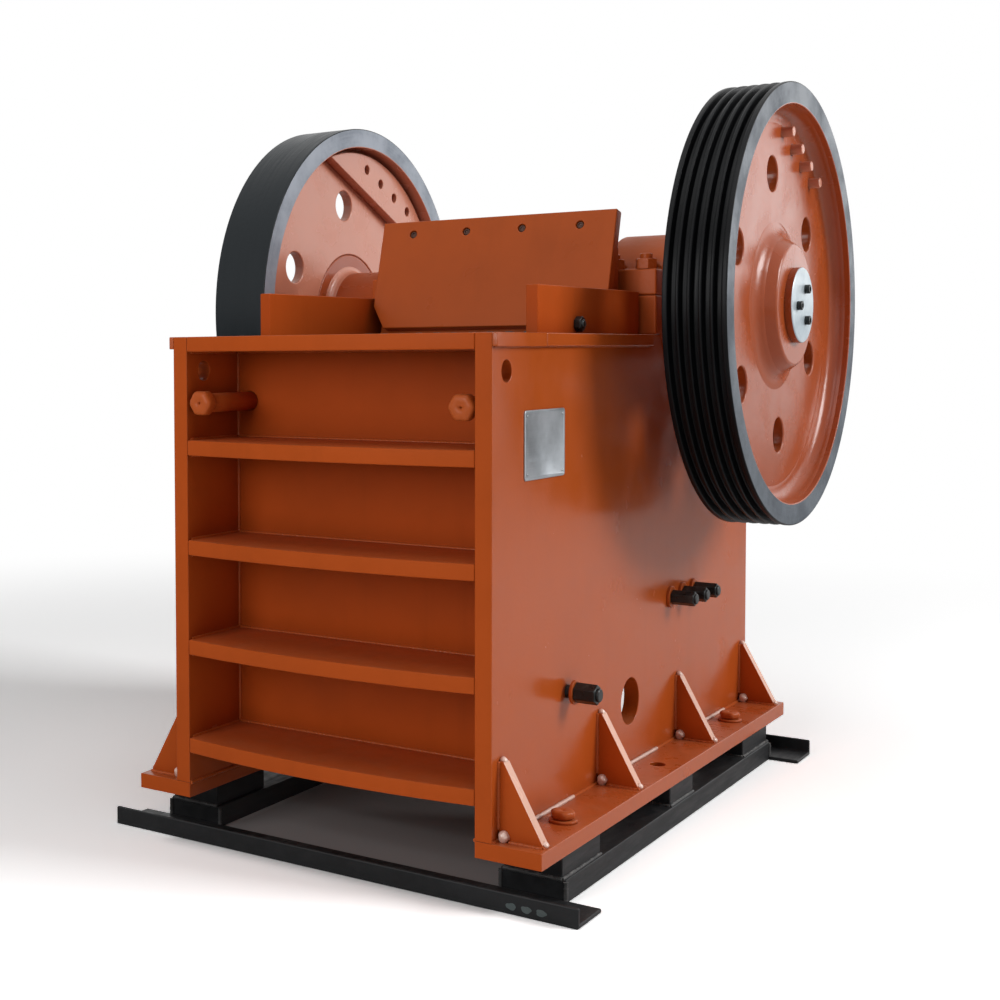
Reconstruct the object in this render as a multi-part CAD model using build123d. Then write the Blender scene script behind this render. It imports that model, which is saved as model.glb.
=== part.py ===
"""Single-toggle jaw crusher on its steel skid, as separate named pieces.

Millimetres, +Z up. X runs along the eccentric shaft, with the grooved pulley on +X.
The ribbed front wall faces -Y. The origin is on the floor, under the middle of the whole machine.
"""

from build123d import *
import os
from math import cos, sin, radians, degrees, atan2, hypot

# Frame
frame_width = 800.0
frame_height = 1063.0
side_thickness = 38.0
wall_thickness = 32.0
flange_thickness = 35.0
flange_reach = 108.0
rim_proud = 12.0
rim_height = 28.0
rim_length = 853.0

# Front and rear ribs
rib_thickness = 35.0
rib_tops = {"upper": 827.0, "middle": 598.0, "lower": 368.0, "bottom": 140.0}
rib_bow = 30.0
front_recess = 203.0
top_plate_thickness = 34.0
rear_recess = 120.0
rear_space = 154.0
rear_wall_bottom = 368.0
rear_rib_levels = ("upper", "middle")

# Gussets along each base flange
gusset_count = 4
gusset_thickness = 26.0
gusset_first = 30.0
gusset_last_margin = 32.0
gusset_height = 162.0
gusset_reach = 96.0
gusset_top_width = 12.0
gusset_toe_height = 8.0
gusset_scallop = 20.0

# Holes in the side plates
lifting_hole_radius = 23.0
lifting_hole_back = 67.0
lifting_hole_drop = 78.0
access_hole_radius = 56.0
access_hole_back = 740.0
access_hole_height = 187.0

# Anchor holes and bolts
anchor_hole_radius = 18.0
anchor_bolt_backs = (226.0, 1311.0)
anchor_spare_back = 777.0
anchor_line_reach = 54.0
anchor_bolt_radius = 15.0
anchor_head_radius = 26.0
anchor_head_height = 19.0
anchor_washer_radius = 30.0
anchor_washer_height = 6.0

# Skid
skid_height = 100.0
runner_height = 50.0
runner_width = 145.0
runner_front = 118.0
runner_rear = 1480.0
front_pad_length = 198.0
middle_pad_front_reach = 41.0
middle_pad_length = 155.0
rear_pad_length = 204.0
pad_inset = 8.0
cross_leg_height = 42.0
cross_leg_thickness = 9.0
cross_overhang = 76.0
cross_foot = 117.0

# Shaft, bearings and wheels
axis_back = 1100.0
axis_above_top = 69.0
journal_radius = 65.0
running_clearance = 0.08
housing_radius = 188.0
housing_lug_reach = 18.0
housing_length = 150.0
cap_lug_height = 93.0
cap_split_rise = 28.0
cap_stud_radius = 15.0
cap_nut_radius = 27.0
cap_nut_height = 26.0
cap_stud_height = 39.0
cap_stud_inset = 34.0
cap_stud_end_inset = 24.0
cap_spot_face_radius = 31.0
seat_gap = 0.3
eccentric_radius = 76.0
eccentric_offset = 10.0
eccentric_side_gap = 13.0
eccentric_clearance = 5.5
wheel_seat_radius = 60.0
wheel_fit = 0.05

wheel_radius = 538.0
rim_depth = 53.0
wheel_side_gap = 135.0
pulley_width = 144.0
flywheel_width = 158.0
web_recess = 60.0
web_thickness = 30.0
web_hole_radius = 43.0
web_hole_rim_gap = 163.0
web_hole_count = 6
web_hole_phase = 96.0
hub_inner_radius = 125.0
hub_side_gap = 36.0
hub_root_radius = 180.0
hub_face_radius = 147.0
hub_proud = 47.0
end_plate_radius = 92.0
end_plate_thickness = 18.0
end_screw_count = 3
end_screw_radius = 11.0
end_screw_height = 12.0
end_screw_circle = 44.0
end_screw_phase = 63.0

groove_count = 5
groove_pitch = 25.5
groove_top_width = 19.0
groove_bottom_width = 11.0
groove_depth = 17.0

counterweight_rim_gap = 11.0
counterweight_height = 126.0
counterweight_thickness = 30.0
counterweight_angle = 66.0
counterweight_bolt_count = 4
counterweight_bolt_pitch = 87.0
counterweight_bolt_inset = 62.0
counterweight_bolt_radius = 13.0
counterweight_bolt_proud = 27.0
counterweight_bolt_sunk = 14.0

# Crushing chamber
cheek_thickness = 28.0
cheek_rise = 106.0
cheek_rear_gap = 12.0
cheek_bottom = 150.0
cheek_bolt_back = 503.0
cheek_bolt_rise = 22.0
cheek_bolt_radius = 10.0
cheek_bolt_length = 20.0
cheek_nut_radius = 18.0
cheek_nut_height = 16.0
fixed_jaw_thickness = 62.0
jaw_tooth_depth = 18.0
jaw_tooth_pitch = 50.0
jaw_tooth_crest = 18.0
jaw_tooth_flank = 13.0
jaw_side_gap = 9.0
fixed_jaw_bottom = 150.0
fixed_jaw_top_drop = 12.0
discharge_gap = 80.0
gape = 405.0
moving_jaw_top = 1075.0
moving_jaw_bottom = 160.0
moving_jaw_thickness = 62.0

# Swing jaw
barrel_radius = 165.0
barrel_side_gap = 15.0
barrel_ring_radius = 140.0
barrel_ring_thickness = 22.0
jaw_plate_overhang = 13.0
body_thickness = 150.0
housing_side_clearance = 15.0
shoulder_drop = 338.0
neck_foot_height = 540.0
barrel_rear_angle = -20.0
guard_backing = 210.0
toggle_pocket_height = 300.0
guard_bottom_back = 757.0
guard_bottom_height = 1088.0
guard_lean = 15.0
guard_length = 293.0
guard_thickness = 31.0
guard_corner = (38.0, 62.0)
guard_screw_radius = 9.0
guard_screw_hole_radius = 10.0
guard_screw_depth = 10.0
guard_screw_sunk = 4.0
guard_screw_drop = 36.0
guard_screw_edge = 92.5
guard_screw_count = 4

# Toggle and tension rod
beam_front = 1000.0
beam_depth = 190.0
beam_bottom = 300.0
beam_top = 482.0
toggle_thickness = 40.0
toggle_side_inset = 32.0
toggle_rear_height = 391.0
toggle_seat_gap = 0.3
toggle_seat_stand = 8.0
toggle_free_gap = 15.5
rod_radius = 19.0
rod_height = 205.0
rod_socket_clearance = 16.0
rod_socket_depth = 90.0
rod_rear_reach = 190.0
tie_plate_bottom = 105.0
tie_plate_top = 300.0
spring_wire_radius = 8.0
spring_radius = 46.0
spring_length = 120.0
spring_turns = 6
spring_washer_radius = 58.0
spring_washer_thickness = 12.0
rod_nut_radius = 34.0
rod_nut_height = 30.0

# Fastenings that show on the frame
clamp_bolt_radius = 22.0
clamp_head_radius = 30.0
clamp_head_length = 34.0
clamp_bolt_side_gap = 33.0
clamp_bolt_drop = 117.0
beam_stud_radius = 13.0
beam_nut_radius = 19.0
beam_nut_height = 58.0
beam_stud_end = 5.0
lower_stud_radius = 15.0
lower_stud_stand = 14.0
lower_nut_radius = 23.0
lower_nut_height = 50.0
lower_stud_end = 6.0
side_washer_radius = 27.0
side_washer_height = 7.0
lower_stud_back = 371.0
lower_stud_height = 278.0
beam_stud_backs = (1004.0, 1087.0, 1170.0)
beam_stud_height = 403.0
nameplate_front = 147.0
nameplate_bottom = 756.0
nameplate_width = 200.0
nameplate_height = 146.0
nameplate_thickness = 3.0

# Levels and places worked out from the sizes above
half_width = frame_width / 2
inner_half = half_width - side_thickness
housing_half_length = housing_radius + housing_lug_reach
frame_length = axis_back + housing_half_length + rear_space + wall_thickness + rear_recess
front = -(frame_length + rod_rear_reach - rib_bow) / 2
rear = front + frame_length
base = skid_height
top = base + frame_height
axis_y = front + axis_back
axis_z = top + axis_above_top
plate_bottom = base + flange_thickness
cheek_inner = inner_half - cheek_thickness
jaw_half_width = cheek_inner - jaw_side_gap
body_half_width = jaw_half_width - jaw_plate_overhang
toggle_half_width = body_half_width - toggle_side_inset
guard_screw_pitch = 2 * (jaw_half_width - guard_screw_edge) / (guard_screw_count - 1)
wall_front = front + front_recess
wall_back = wall_front + wall_thickness
chamber_front = wall_back + fixed_jaw_thickness
anchor_x = half_width + anchor_line_reach
beam_y = front + beam_front
housing_front = axis_y - housing_half_length
housing_rear = axis_y + housing_half_length
jaw_rear_limit = housing_front - housing_side_clearance
shoulder_z = axis_z - shoulder_drop
runner_outer = half_width + flange_reach
runner_inner = runner_outer - runner_width
housing_inner = half_width - housing_length
barrel_half_width = housing_inner - barrel_side_gap - barrel_ring_thickness
wheel_inner_face = half_width + wheel_side_gap
web_start = wheel_inner_face + web_recess
hub_inner_face = half_width + hub_side_gap
hub_outer_face = web_start + web_thickness + hub_proud
rim_inner_radius = wheel_radius - rim_depth
web_hole_pitch_radius = rim_inner_radius - web_hole_rim_gap
counterweight_radius = rim_inner_radius - counterweight_rim_gap
counterweight_chord = counterweight_radius - counterweight_height
counterweight_bolt_distance = counterweight_radius - counterweight_bolt_inset
clamp_bolt_z = top - top_plate_thickness - clamp_bolt_drop
SIDES = {"left": -1, "right": 1}


def box(x0, x1, y0, y1, z0, z1):
    """A box between two corners."""
    return Pos((x0 + x1) / 2, (y0 + y1) / 2, (z0 + z1) / 2) * Box(
        abs(x1 - x0), abs(y1 - y0), abs(z1 - z0)
    )


def bar_x(x0, x1, y, z, radius):
    """A round bar along X."""
    return Pos((x0 + x1) / 2, y, z) * Rot(0, 90, 0) * Cylinder(radius, abs(x1 - x0))


def bar_y(x, y0, y1, z, radius):
    """A round bar along Y."""
    return Pos(x, (y0 + y1) / 2, z) * Rot(90, 0, 0) * Cylinder(radius, abs(y1 - y0))


def bar_z(x, y, z0, z1, radius):
    """A round bar along Z."""
    return Pos(x, y, (z0 + z1) / 2) * Cylinder(radius, abs(z1 - z0))


def hexagon(radius, length):
    """A hexagonal prism along Z, centred on the origin; the radius is to its corners."""
    return extrude(RegularPolygon(radius, 6), length / 2, both=True)


def hex_x(x0, x1, y, z, radius):
    """A hexagonal prism along X."""
    return Pos((x0 + x1) / 2, y, z) * Rot(0, 90, 0) * hexagon(radius, abs(x1 - x0))


def slab_x(points, x0, x1):
    """A closed outline of (y, z) points, extruded from x0 to x1."""
    outline = Polyline(*[(x0, y, z) for y, z in points], close=True)
    return extrude(make_face(outline), x1 - x0, dir=(1, 0, 0))


def at_axis(radius, angle):
    """The (y, z) place at a radius and angle round the shaft; 0 degrees points to the rear."""
    return axis_y + radius * cos(radians(angle)), axis_z + radius * sin(radians(angle))


def along(start, direction, distance):
    """The point at a distance from start along a (y, z) direction of length 1."""
    return start[0] + direction[0] * distance, start[1] + direction[1] * distance


# Frame plates


def side_plate(sign):
    """A side plate with its bearing saddle, lifting hole and access hole."""
    x0, x1 = sign * inner_half, sign * half_width
    plate = box(x0, x1, front, rear, plate_bottom, top)
    plate -= bar_x(x0, x1, axis_y, axis_z, housing_radius + seat_gap)
    plate -= bar_x(x0, x1, front + lifting_hole_back, top - lifting_hole_drop, lifting_hole_radius)
    plate -= bar_x(x0, x1, front + access_hole_back, base + access_hole_height, access_hole_radius)
    return plate


def base_flange(sign):
    """The thick plate that the side plate stands on, with its anchor holes."""
    flange = box(sign * inner_half, sign * runner_outer, front, rear, base, plate_bottom)
    for back in anchor_bolt_backs:
        flange -= bar_z(sign * anchor_x, front + back, base, plate_bottom, anchor_hole_radius)
    return flange - spare_anchor_hole(sign)


def gussets(sign):
    """The triangular stiffeners between one side plate and its flange."""
    last = frame_length - gusset_last_margin - gusset_thickness
    step = (last - gusset_first) / (gusset_count - 1)
    foot = plate_bottom
    outline = [
        (gusset_scallop, foot),
        (gusset_reach, foot),
        (gusset_reach, foot + gusset_toe_height),
        (gusset_top_width, foot + gusset_height),
        (0, foot + gusset_height),
        (0, foot + gusset_scallop),
    ]
    pieces = []
    for i in range(gusset_count):
        y = front + gusset_first + i * step
        edge = Polyline(*[(sign * (half_width + x), y, z) for x, z in outline], close=True)
        pieces.append(extrude(make_face(edge), gusset_thickness, dir=(0, 1, 0)))
    return pieces


def bowed_plate(y_back, z_top, thickness):
    """A horizontal plate between the side plates with its front edge bowed forward."""
    edge = Wire(
        [
            Line((-inner_half, y_back), (-inner_half, front)),
            ThreePointArc((-inner_half, front), (0, front - rib_bow), (inner_half, front)),
            Line((inner_half, front), (inner_half, y_back)),
            Line((inner_half, y_back), (-inner_half, y_back)),
        ]
    )
    return Pos(0, 0, z_top - thickness) * extrude(make_face(edge), thickness)


def clamp_bolt_x(sign):
    """How far a clamp bolt stands from the middle."""
    return sign * (inner_half - clamp_bolt_side_gap)


def front_wall():
    """The flat wall behind the front ribs, drilled for the two clamp bolts."""
    z0, z1 = base + rib_tops["bottom"] - rib_thickness, top - top_plate_thickness
    wall = box(-inner_half, inner_half, wall_front, wall_back, z0, z1)
    for sign in SIDES.values():
        hole = clamp_bolt_radius + seat_gap
        wall -= bar_y(clamp_bolt_x(sign), wall_front, wall_back, clamp_bolt_z, hole)
    return wall


def front_ribs():
    """The bowed ribs in front of the front wall, and the top plate that runs on over it."""
    ribs = [bowed_plate(wall_front, base + level, rib_thickness) for level in rib_tops.values()]
    return [bowed_plate(wall_back, top, top_plate_thickness), *ribs]


def rear_wall():
    """The rear wall, open below for the discharge and the tension rod."""
    y1 = rear - rear_recess
    return box(-inner_half, inner_half, y1 - wall_thickness, y1, base + rear_wall_bottom, top)


def rear_ribs():
    """The straight ribs behind the rear wall."""
    tops = [top, base + rear_wall_bottom + rib_thickness]
    tops += [base + rib_tops[level] for level in rear_rib_levels]
    y0 = rear - rear_recess
    return [box(-inner_half, inner_half, y0, rear, z - rib_thickness, z) for z in tops]


def rear_tie_plate():
    """The low cross plate that the tension spring pulls against."""
    y0 = rear - wall_thickness
    plate = box(-inner_half, inner_half, y0, rear, base + tie_plate_bottom, base + tie_plate_top)
    return plate - bar_y(0, y0, rear, base + rod_height, rod_radius + seat_gap)


def top_rim(sign):
    """The strip along the outer top edge of one side plate, in two lengths."""
    x0, x1 = sign * half_width, sign * (half_width + rim_proud)
    z0 = top - rim_height
    return [
        box(x0, x1, front, wall_back, z0, top),
        box(x0, x1, wall_back, front + rim_length, z0, top),
    ]


def toggle_beam():
    """The cross beam behind the toggle plate, with the groove that seats it."""
    y1 = beam_y + beam_depth
    beam = box(-inner_half, inner_half, beam_y, y1, base + beam_bottom, base + beam_top)
    seat_radius = toggle_thickness / 2 + toggle_seat_gap
    return beam - bar_x(-inner_half, inner_half, *toggle_ends()[1], seat_radius)


# Fastenings


def clamp_bolt(sign):
    """A long bolt through the front wall that holds the fixed jaw plate."""
    x = clamp_bolt_x(sign)
    shank = bar_y(x, front, wall_back, clamp_bolt_z, clamp_bolt_radius)
    head = Pos(x, front + clamp_head_length / 2, clamp_bolt_z) * Rot(90, 0, 0)
    return shank + head * hexagon(clamp_head_radius, clamp_head_length)


def side_stud_places():
    """Each side stud's (y, z) place, then its radius, stand, end, nut radius and nut height."""
    lower = (lower_stud_radius, lower_stud_stand, lower_stud_end, lower_nut_radius, lower_nut_height)
    beam = (beam_stud_radius, 0, beam_stud_end, beam_nut_radius, beam_nut_height)
    places = [(front + lower_stud_back, base + lower_stud_height, *lower)]
    return places + [(front + back, base + beam_stud_height, *beam) for back in beam_stud_backs]


def side_washers(sign):
    """The painted washers under the side nuts."""
    washers = []
    for y, z, radius, stand, _, _, _ in side_stud_places():
        x0, x1 = sign * (half_width + stand), sign * (half_width + stand + side_washer_height)
        washers.append(bar_x(x0, x1, y, z, side_washer_radius) - bar_x(x0, x1, y, z, radius + seat_gap))
    return washers


def side_studs(sign):
    """The black studs with their nuts."""
    studs = []
    for y, z, radius, stand, end, nut_radius, nut_height in side_stud_places():
        nut_start = half_width + stand + side_washer_height
        nut_end = nut_start + nut_height
        stud = bar_x(sign * half_width, sign * (nut_end + end), y, z, radius)
        studs.append(stud + hex_x(sign * nut_start, sign * nut_end, y, z, nut_radius))
    return studs


def cheek_bolt(sign):
    """The bolt through a cheek plate, with its nut outside."""
    y, z = front + cheek_bolt_back, top + cheek_bolt_rise
    shank = bar_x(sign * inner_half, sign * (inner_half + cheek_bolt_length), y, z, cheek_bolt_radius)
    nut = hex_x(sign * inner_half, sign * (inner_half + cheek_nut_height), y, z, cheek_nut_radius)
    return shank + nut


def anchor_bolts(sign):
    """The hexagon bolts and washers that hold the frame on the skid."""
    x = sign * anchor_x
    washer_top = plate_bottom + anchor_washer_height
    bolts = []
    for back in anchor_bolt_backs:
        y = front + back
        shank = bar_z(x, y, base, plate_bottom, anchor_bolt_radius)
        washer = bar_z(x, y, plate_bottom, washer_top, anchor_washer_radius)
        head = Pos(x, y, washer_top + anchor_head_height / 2)
        bolts.append(shank + washer + head * hexagon(anchor_head_radius, anchor_head_height))
    return bolts


def nameplate():
    """A bare metal plate on the right side."""
    y0, z0 = front + nameplate_front, base + nameplate_bottom
    y1, z1 = y0 + nameplate_width, z0 + nameplate_height
    return box(half_width, half_width + nameplate_thickness, y0, y1, z0, z1)


# Skid


def skid_runner(sign):
    """One long runner under the base flange, drilled under the spare anchor hole."""
    y0, y1 = front + runner_front, front + runner_rear
    runner = box(sign * runner_inner, sign * runner_outer, y0, y1, 0, runner_height)
    return runner - spare_anchor_hole(sign)


def spare_anchor_hole(sign):
    """The hole for a floor bolt, through flange, pad and runner."""
    return bar_z(sign * anchor_x, front + anchor_spare_back, 0, plate_bottom, anchor_hole_radius)


def skid_pads(sign):
    """The three blocks between one runner and its flange, the middle one drilled."""
    x0, x1 = sign * (runner_inner + pad_inset), sign * (runner_outer - pad_inset)
    middle = anchor_spare_back - middle_pad_front_reach
    spans = [
        (runner_front, runner_front + front_pad_length),
        (middle, middle + middle_pad_length),
        (runner_rear - rear_pad_length, runner_rear),
    ]
    hole = spare_anchor_hole(sign)
    return [box(x0, x1, front + a, front + b, runner_height, base) - hole for a, b in spans]


def skid_cross(runner_end, outward):
    """An angle bar across the ends of both runners: a foot and an upright outer leg."""
    x1 = runner_outer + cross_overhang
    y0, y1 = front + runner_end, front + runner_end + outward * cross_foot
    foot = box(-x1, x1, y0, y1, 0, cross_leg_thickness)
    leg = box(-x1, x1, y1, y1 - outward * cross_leg_thickness, 0, cross_leg_height)
    return foot + leg


# Bearings and shaft


def housing_outline(sign):
    """The bearing housing as one block, before it is split."""
    x0, x1 = sign * housing_inner, sign * half_width
    body = bar_x(x0, x1, axis_y, axis_z, housing_radius)
    lugs = box(x0, x1, housing_front, housing_rear, top, axis_z + cap_lug_height)
    bore = bar_x(x0, x1, axis_y, axis_z, journal_radius + running_clearance)
    return body + lugs - bore


def housing_part(sign, z0, z1):
    """The stretch of a housing between two levels."""
    reach = housing_half_length + housing_radius
    return housing_outline(sign) & box(
        0, sign * frame_width, axis_y - reach, axis_y + reach, z0, z1
    )


def bearing_housing(sign):
    """The lower part of the housing, down to its saddle in the side plate."""
    split = axis_z + cap_split_rise
    return housing_part(sign, split - 2 * housing_radius - cap_split_rise, split)


def cap_stud_places(sign):
    """The (x, y) places of the four studs in a cap."""
    across = (housing_inner + cap_stud_inset, half_width - cap_stud_inset)
    ends = (housing_front + cap_stud_end_inset, housing_rear - cap_stud_end_inset)
    return [(sign * x, y) for x in across for y in ends]


def bearing_cap(sign):
    """The upper part of the housing, spot-faced for its nuts."""
    split = axis_z + cap_split_rise
    cap = housing_part(sign, split, split + 2 * housing_radius)
    z0 = axis_z + cap_lug_height
    for x, y in cap_stud_places(sign):
        cap -= bar_z(x, y, z0, z0 + housing_radius, cap_spot_face_radius)
    return cap


def cap_nuts(sign):
    """The studs and nuts on the four corners of a cap."""
    z0 = axis_z + cap_lug_height
    nuts = []
    for x, y in cap_stud_places(sign):
        nut = Pos(x, y, z0 + cap_nut_height / 2) * hexagon(cap_nut_radius, cap_nut_height)
        nuts.append(nut + bar_z(x, y, z0, z0 + cap_stud_height, cap_stud_radius))
    return nuts


def eccentric_shaft():
    """The shaft: wheel seats, journals and the offset middle that works the jaw."""
    offset_y, offset_z = at_axis(eccentric_offset, counterweight_angle + 180)
    middle = barrel_half_width - eccentric_side_gap
    journals = bar_x(-hub_inner_face, hub_inner_face, axis_y, axis_z, journal_radius)
    seats = bar_x(-hub_outer_face, hub_outer_face, axis_y, axis_z, wheel_seat_radius)
    return seats + journals + bar_x(-middle, middle, offset_y, offset_z, eccentric_radius)


def groove_profile(rim_width):
    """The (radius, x) corners of the belt grooves, from the rim's inner face outwards."""
    first = wheel_inner_face + (rim_width - (groove_count - 1) * groove_pitch) / 2
    floor = wheel_radius - groove_depth
    corners = []
    for i in range(groove_count):
        middle = first + i * groove_pitch
        corners += [
            (wheel_radius, middle - groove_top_width / 2),
            (floor, middle - groove_bottom_width / 2),
            (floor, middle + groove_bottom_width / 2),
            (wheel_radius, middle + groove_top_width / 2),
        ]
    return corners


def turned(sign, profile):
    """A closed outline of (radius, x) points, turned about the shaft."""
    outline = Polyline(*[(sign * x, axis_y, axis_z + r) for r, x in profile], close=True)
    return revolve(make_face(outline), Axis((0, axis_y, axis_z), (1, 0, 0)))


def wheel_rim(sign, rim_width, grooves):
    """The rim of a wheel, with its belt grooves if it has any."""
    rim_outer = wheel_inner_face + rim_width
    profile = [
        (rim_inner_radius, wheel_inner_face),
        (wheel_radius, wheel_inner_face),
        *grooves,
        (wheel_radius, rim_outer),
        (rim_inner_radius, rim_outer),
    ]
    return turned(sign, profile)


def wheel_web(sign):
    """The web between hub and rim, with its round holes and the counterweight's bolt holes."""
    x0, x1 = sign * web_start, sign * (web_start + web_thickness)
    web = bar_x(x0, x1, axis_y, axis_z, rim_inner_radius)
    web -= bar_x(x0, x1, axis_y, axis_z, hub_root_radius)
    for i in range(web_hole_count):
        y, z = at_axis(web_hole_pitch_radius, web_hole_phase + i * 360 / web_hole_count)
        web -= bar_x(x0, x1, y, z, web_hole_radius)
    for y, z in counterweight_bolt_places():
        web -= bar_x(x0, x1, y, z, counterweight_bolt_radius + wheel_fit)
    return web


def wheel_hub(sign):
    """The hub that sits on the shaft: a boss on the inner side and a cone outside."""
    web_end = web_start + web_thickness
    bore = wheel_seat_radius + wheel_fit
    profile = [
        (bore, hub_inner_face),
        (hub_inner_radius, hub_inner_face),
        (hub_inner_radius, web_start),
        (hub_root_radius, web_start),
        (hub_root_radius, web_end),
        (hub_face_radius, hub_outer_face),
        (bore, hub_outer_face),
    ]
    return turned(sign, profile)


def counterweight_bolt_places():
    """The (y, z) centres of the bolts through a counterweight."""
    places = []
    for i in range(counterweight_bolt_count):
        aside = (i - (counterweight_bolt_count - 1) / 2) * counterweight_bolt_pitch
        angle = counterweight_angle + degrees(atan2(aside, counterweight_bolt_distance))
        places.append(at_axis(hypot(aside, counterweight_bolt_distance), angle))
    return places


def counterweight(sign):
    """The segment on the inner side of a wheel's web, and the bolts that hold it there."""
    x0, x1 = sign * (web_start - counterweight_thickness), sign * web_start
    reach = 2 * counterweight_radius
    normal = (cos(radians(counterweight_angle)), sin(radians(counterweight_angle)))
    across = (-normal[1], normal[0])
    chord = along((axis_y, axis_z), normal, counterweight_chord)
    beyond = along(chord, normal, reach)
    corners = [
        along(chord, across, -reach),
        along(beyond, across, -reach),
        along(beyond, across, reach),
        along(chord, across, reach),
    ]
    disc = bar_x(x0, x1, axis_y, axis_z, counterweight_radius)
    segment = disc & slab_x(corners, min(x0, x1), max(x0, x1))
    bolt_start = sign * (web_start - counterweight_thickness + counterweight_bolt_sunk)
    bolt_end = sign * (web_start + web_thickness + counterweight_bolt_proud)
    bolts = []
    for y, z in counterweight_bolt_places():
        segment -= bar_x(x0, x1, y, z, counterweight_bolt_radius + wheel_fit)
        bolts.append(bar_x(bolt_start, bolt_end, y, z, counterweight_bolt_radius))
    return [segment, *bolts]


def shaft_end_plate(sign):
    """The disc that keeps a wheel on the shaft, with its three screws."""
    x0, x1 = hub_outer_face, hub_outer_face + end_plate_thickness
    plate = bar_x(sign * x0, sign * x1, axis_y, axis_z, end_plate_radius)
    for i in range(end_screw_count):
        y, z = at_axis(end_screw_circle, end_screw_phase + i * 360 / end_screw_count)
        plate += bar_x(sign * x1, sign * (x1 + end_screw_height), y, z, end_screw_radius)
    return plate


# Crushing chamber and swing jaw


def jaw_profile(thickness):
    """The toothed outline of a jaw plate: across in X, and out from its flat back."""
    teeth = int(2 * jaw_half_width // jaw_tooth_pitch)
    start = -teeth * jaw_tooth_pitch / 2
    floor = thickness - jaw_tooth_depth
    flank = jaw_tooth_flank
    outline = [(-jaw_half_width, 0), (-jaw_half_width, floor)]
    for i in range(teeth):
        x = start + i * jaw_tooth_pitch
        outline += [
            (x + (jaw_tooth_pitch - jaw_tooth_crest) / 2 - flank, floor),
            (x + (jaw_tooth_pitch - jaw_tooth_crest) / 2, thickness),
            (x + (jaw_tooth_pitch + jaw_tooth_crest) / 2, thickness),
            (x + (jaw_tooth_pitch + jaw_tooth_crest) / 2 + flank, floor),
        ]
    return outline + [(jaw_half_width, floor), (jaw_half_width, 0)]


def fixed_jaw():
    """The toothed plate against the front wall."""
    points = [(x, wall_back + out) for x, out in jaw_profile(fixed_jaw_thickness)]
    z0, z1 = base + fixed_jaw_bottom, top - fixed_jaw_top_drop
    return Pos(0, 0, z0) * extrude(make_face(Polyline(*points, close=True)), z1 - z0)


def jaw_line():
    """The moving jaw's crest line: its top, its unit direction down, and its length."""
    crest_top = (chamber_front + gape, base + moving_jaw_top)
    crest_bottom = (chamber_front + discharge_gap, base + moving_jaw_bottom)
    run = (crest_bottom[0] - crest_top[0], crest_bottom[1] - crest_top[1])
    length = hypot(*run)
    return crest_top, (run[0] / length, run[1] / length), length


def jaw_corners():
    """The ends of the moving jaw's back, top first, and the jaw body's heel."""
    crest_top, down, length = jaw_line()
    back = (-down[1], down[0])
    seat_top = along(crest_top, back, moving_jaw_thickness)
    seat_bottom = along(seat_top, down, length)
    return seat_top, seat_bottom, along(seat_bottom, back, body_thickness)


def moving_jaw():
    """The toothed plate on the swing jaw."""
    _, down, length = jaw_line()
    seat_top = jaw_corners()[0]
    plane = Plane(origin=(0, *seat_top), x_dir=(1, 0, 0), z_dir=(0, *down))
    outline = Polyline(*jaw_profile(moving_jaw_thickness), close=True)
    return extrude(plane * make_face(outline), length, dir=(0, *down))


def rear_edge_point(height):
    """The point on the jaw body's sloping rear edge at a height above the frame's base."""
    heel = jaw_corners()[2]
    share = (base + height - heel[1]) / (shoulder_z - heel[1])
    return heel[0] + share * (jaw_rear_limit - heel[0]), base + height


def guard_frame():
    """The guard's lower front corner and its unit directions, up its face and backwards."""
    low = (front + guard_bottom_back, base + guard_bottom_height)
    up = (sin(radians(guard_lean)), cos(radians(guard_lean)))
    return low, up, (up[1], -up[0])


def jaw_top_rear():
    """The top corner of the jaw's wide body, where its barrel joins on."""
    low, up, behind = guard_frame()
    guard_high = along(along(low, behind, guard_thickness), up, guard_backing)
    return guard_high, (jaw_rear_limit, guard_high[1])


def swing_jaw():
    """The wide body of the swing jaw, with its toggle groove and rod socket."""
    seat_top, seat_bottom, heel = jaw_corners()
    low, _, behind = guard_frame()
    guard_high, top_rear = jaw_top_rear()
    shoulder = (jaw_rear_limit, shoulder_z)
    guard_low = along(low, behind, guard_thickness)
    outline = [seat_top, guard_low, guard_high, top_rear, shoulder, heel, seat_bottom]
    body = slab_x(outline, -body_half_width, body_half_width)
    groove = toggle_thickness / 2 + toggle_free_gap
    body -= bar_x(-body_half_width, body_half_width, *toggle_ends()[0], groove)
    mouth, floor = rod_socket()
    return body - bar_y(0, floor, mouth, base + rod_height, rod_radius + rod_socket_clearance)


def jaw_barrel():
    """The swing jaw's bearing barrel, and the narrow neck that joins it to the wide body."""
    neck = [
        jaw_top_rear()[1],
        at_axis(barrel_radius, 90),
        at_axis(barrel_radius, barrel_rear_angle),
        rear_edge_point(neck_foot_height),
        (jaw_rear_limit, shoulder_z),
    ]
    barrel = slab_x(neck, -barrel_half_width, barrel_half_width)
    barrel += bar_x(-barrel_half_width, barrel_half_width, axis_y, axis_z, barrel_radius)
    bore = eccentric_radius + eccentric_offset + eccentric_clearance
    return barrel - bar_x(-barrel_half_width, barrel_half_width, axis_y, axis_z, bore)


def barrel_rings():
    """The cover rings on the barrel's two ends, which run on the shaft's journals."""
    rings = []
    for sign in SIDES.values():
        x0 = sign * barrel_half_width
        x1 = sign * (barrel_half_width + barrel_ring_thickness)
        bore = bar_x(x0, x1, axis_y, axis_z, journal_radius + running_clearance)
        rings.append(bar_x(x0, x1, axis_y, axis_z, barrel_ring_radius) - bore)
    return rings


def guard_plane():
    """The plane of the guard's face, from its lower edge: X across and Y up the face."""
    low, _, behind = guard_frame()
    return Plane(origin=(0, *low), x_dir=(1, 0, 0), z_dir=(0, -behind[0], -behind[1]))


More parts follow.
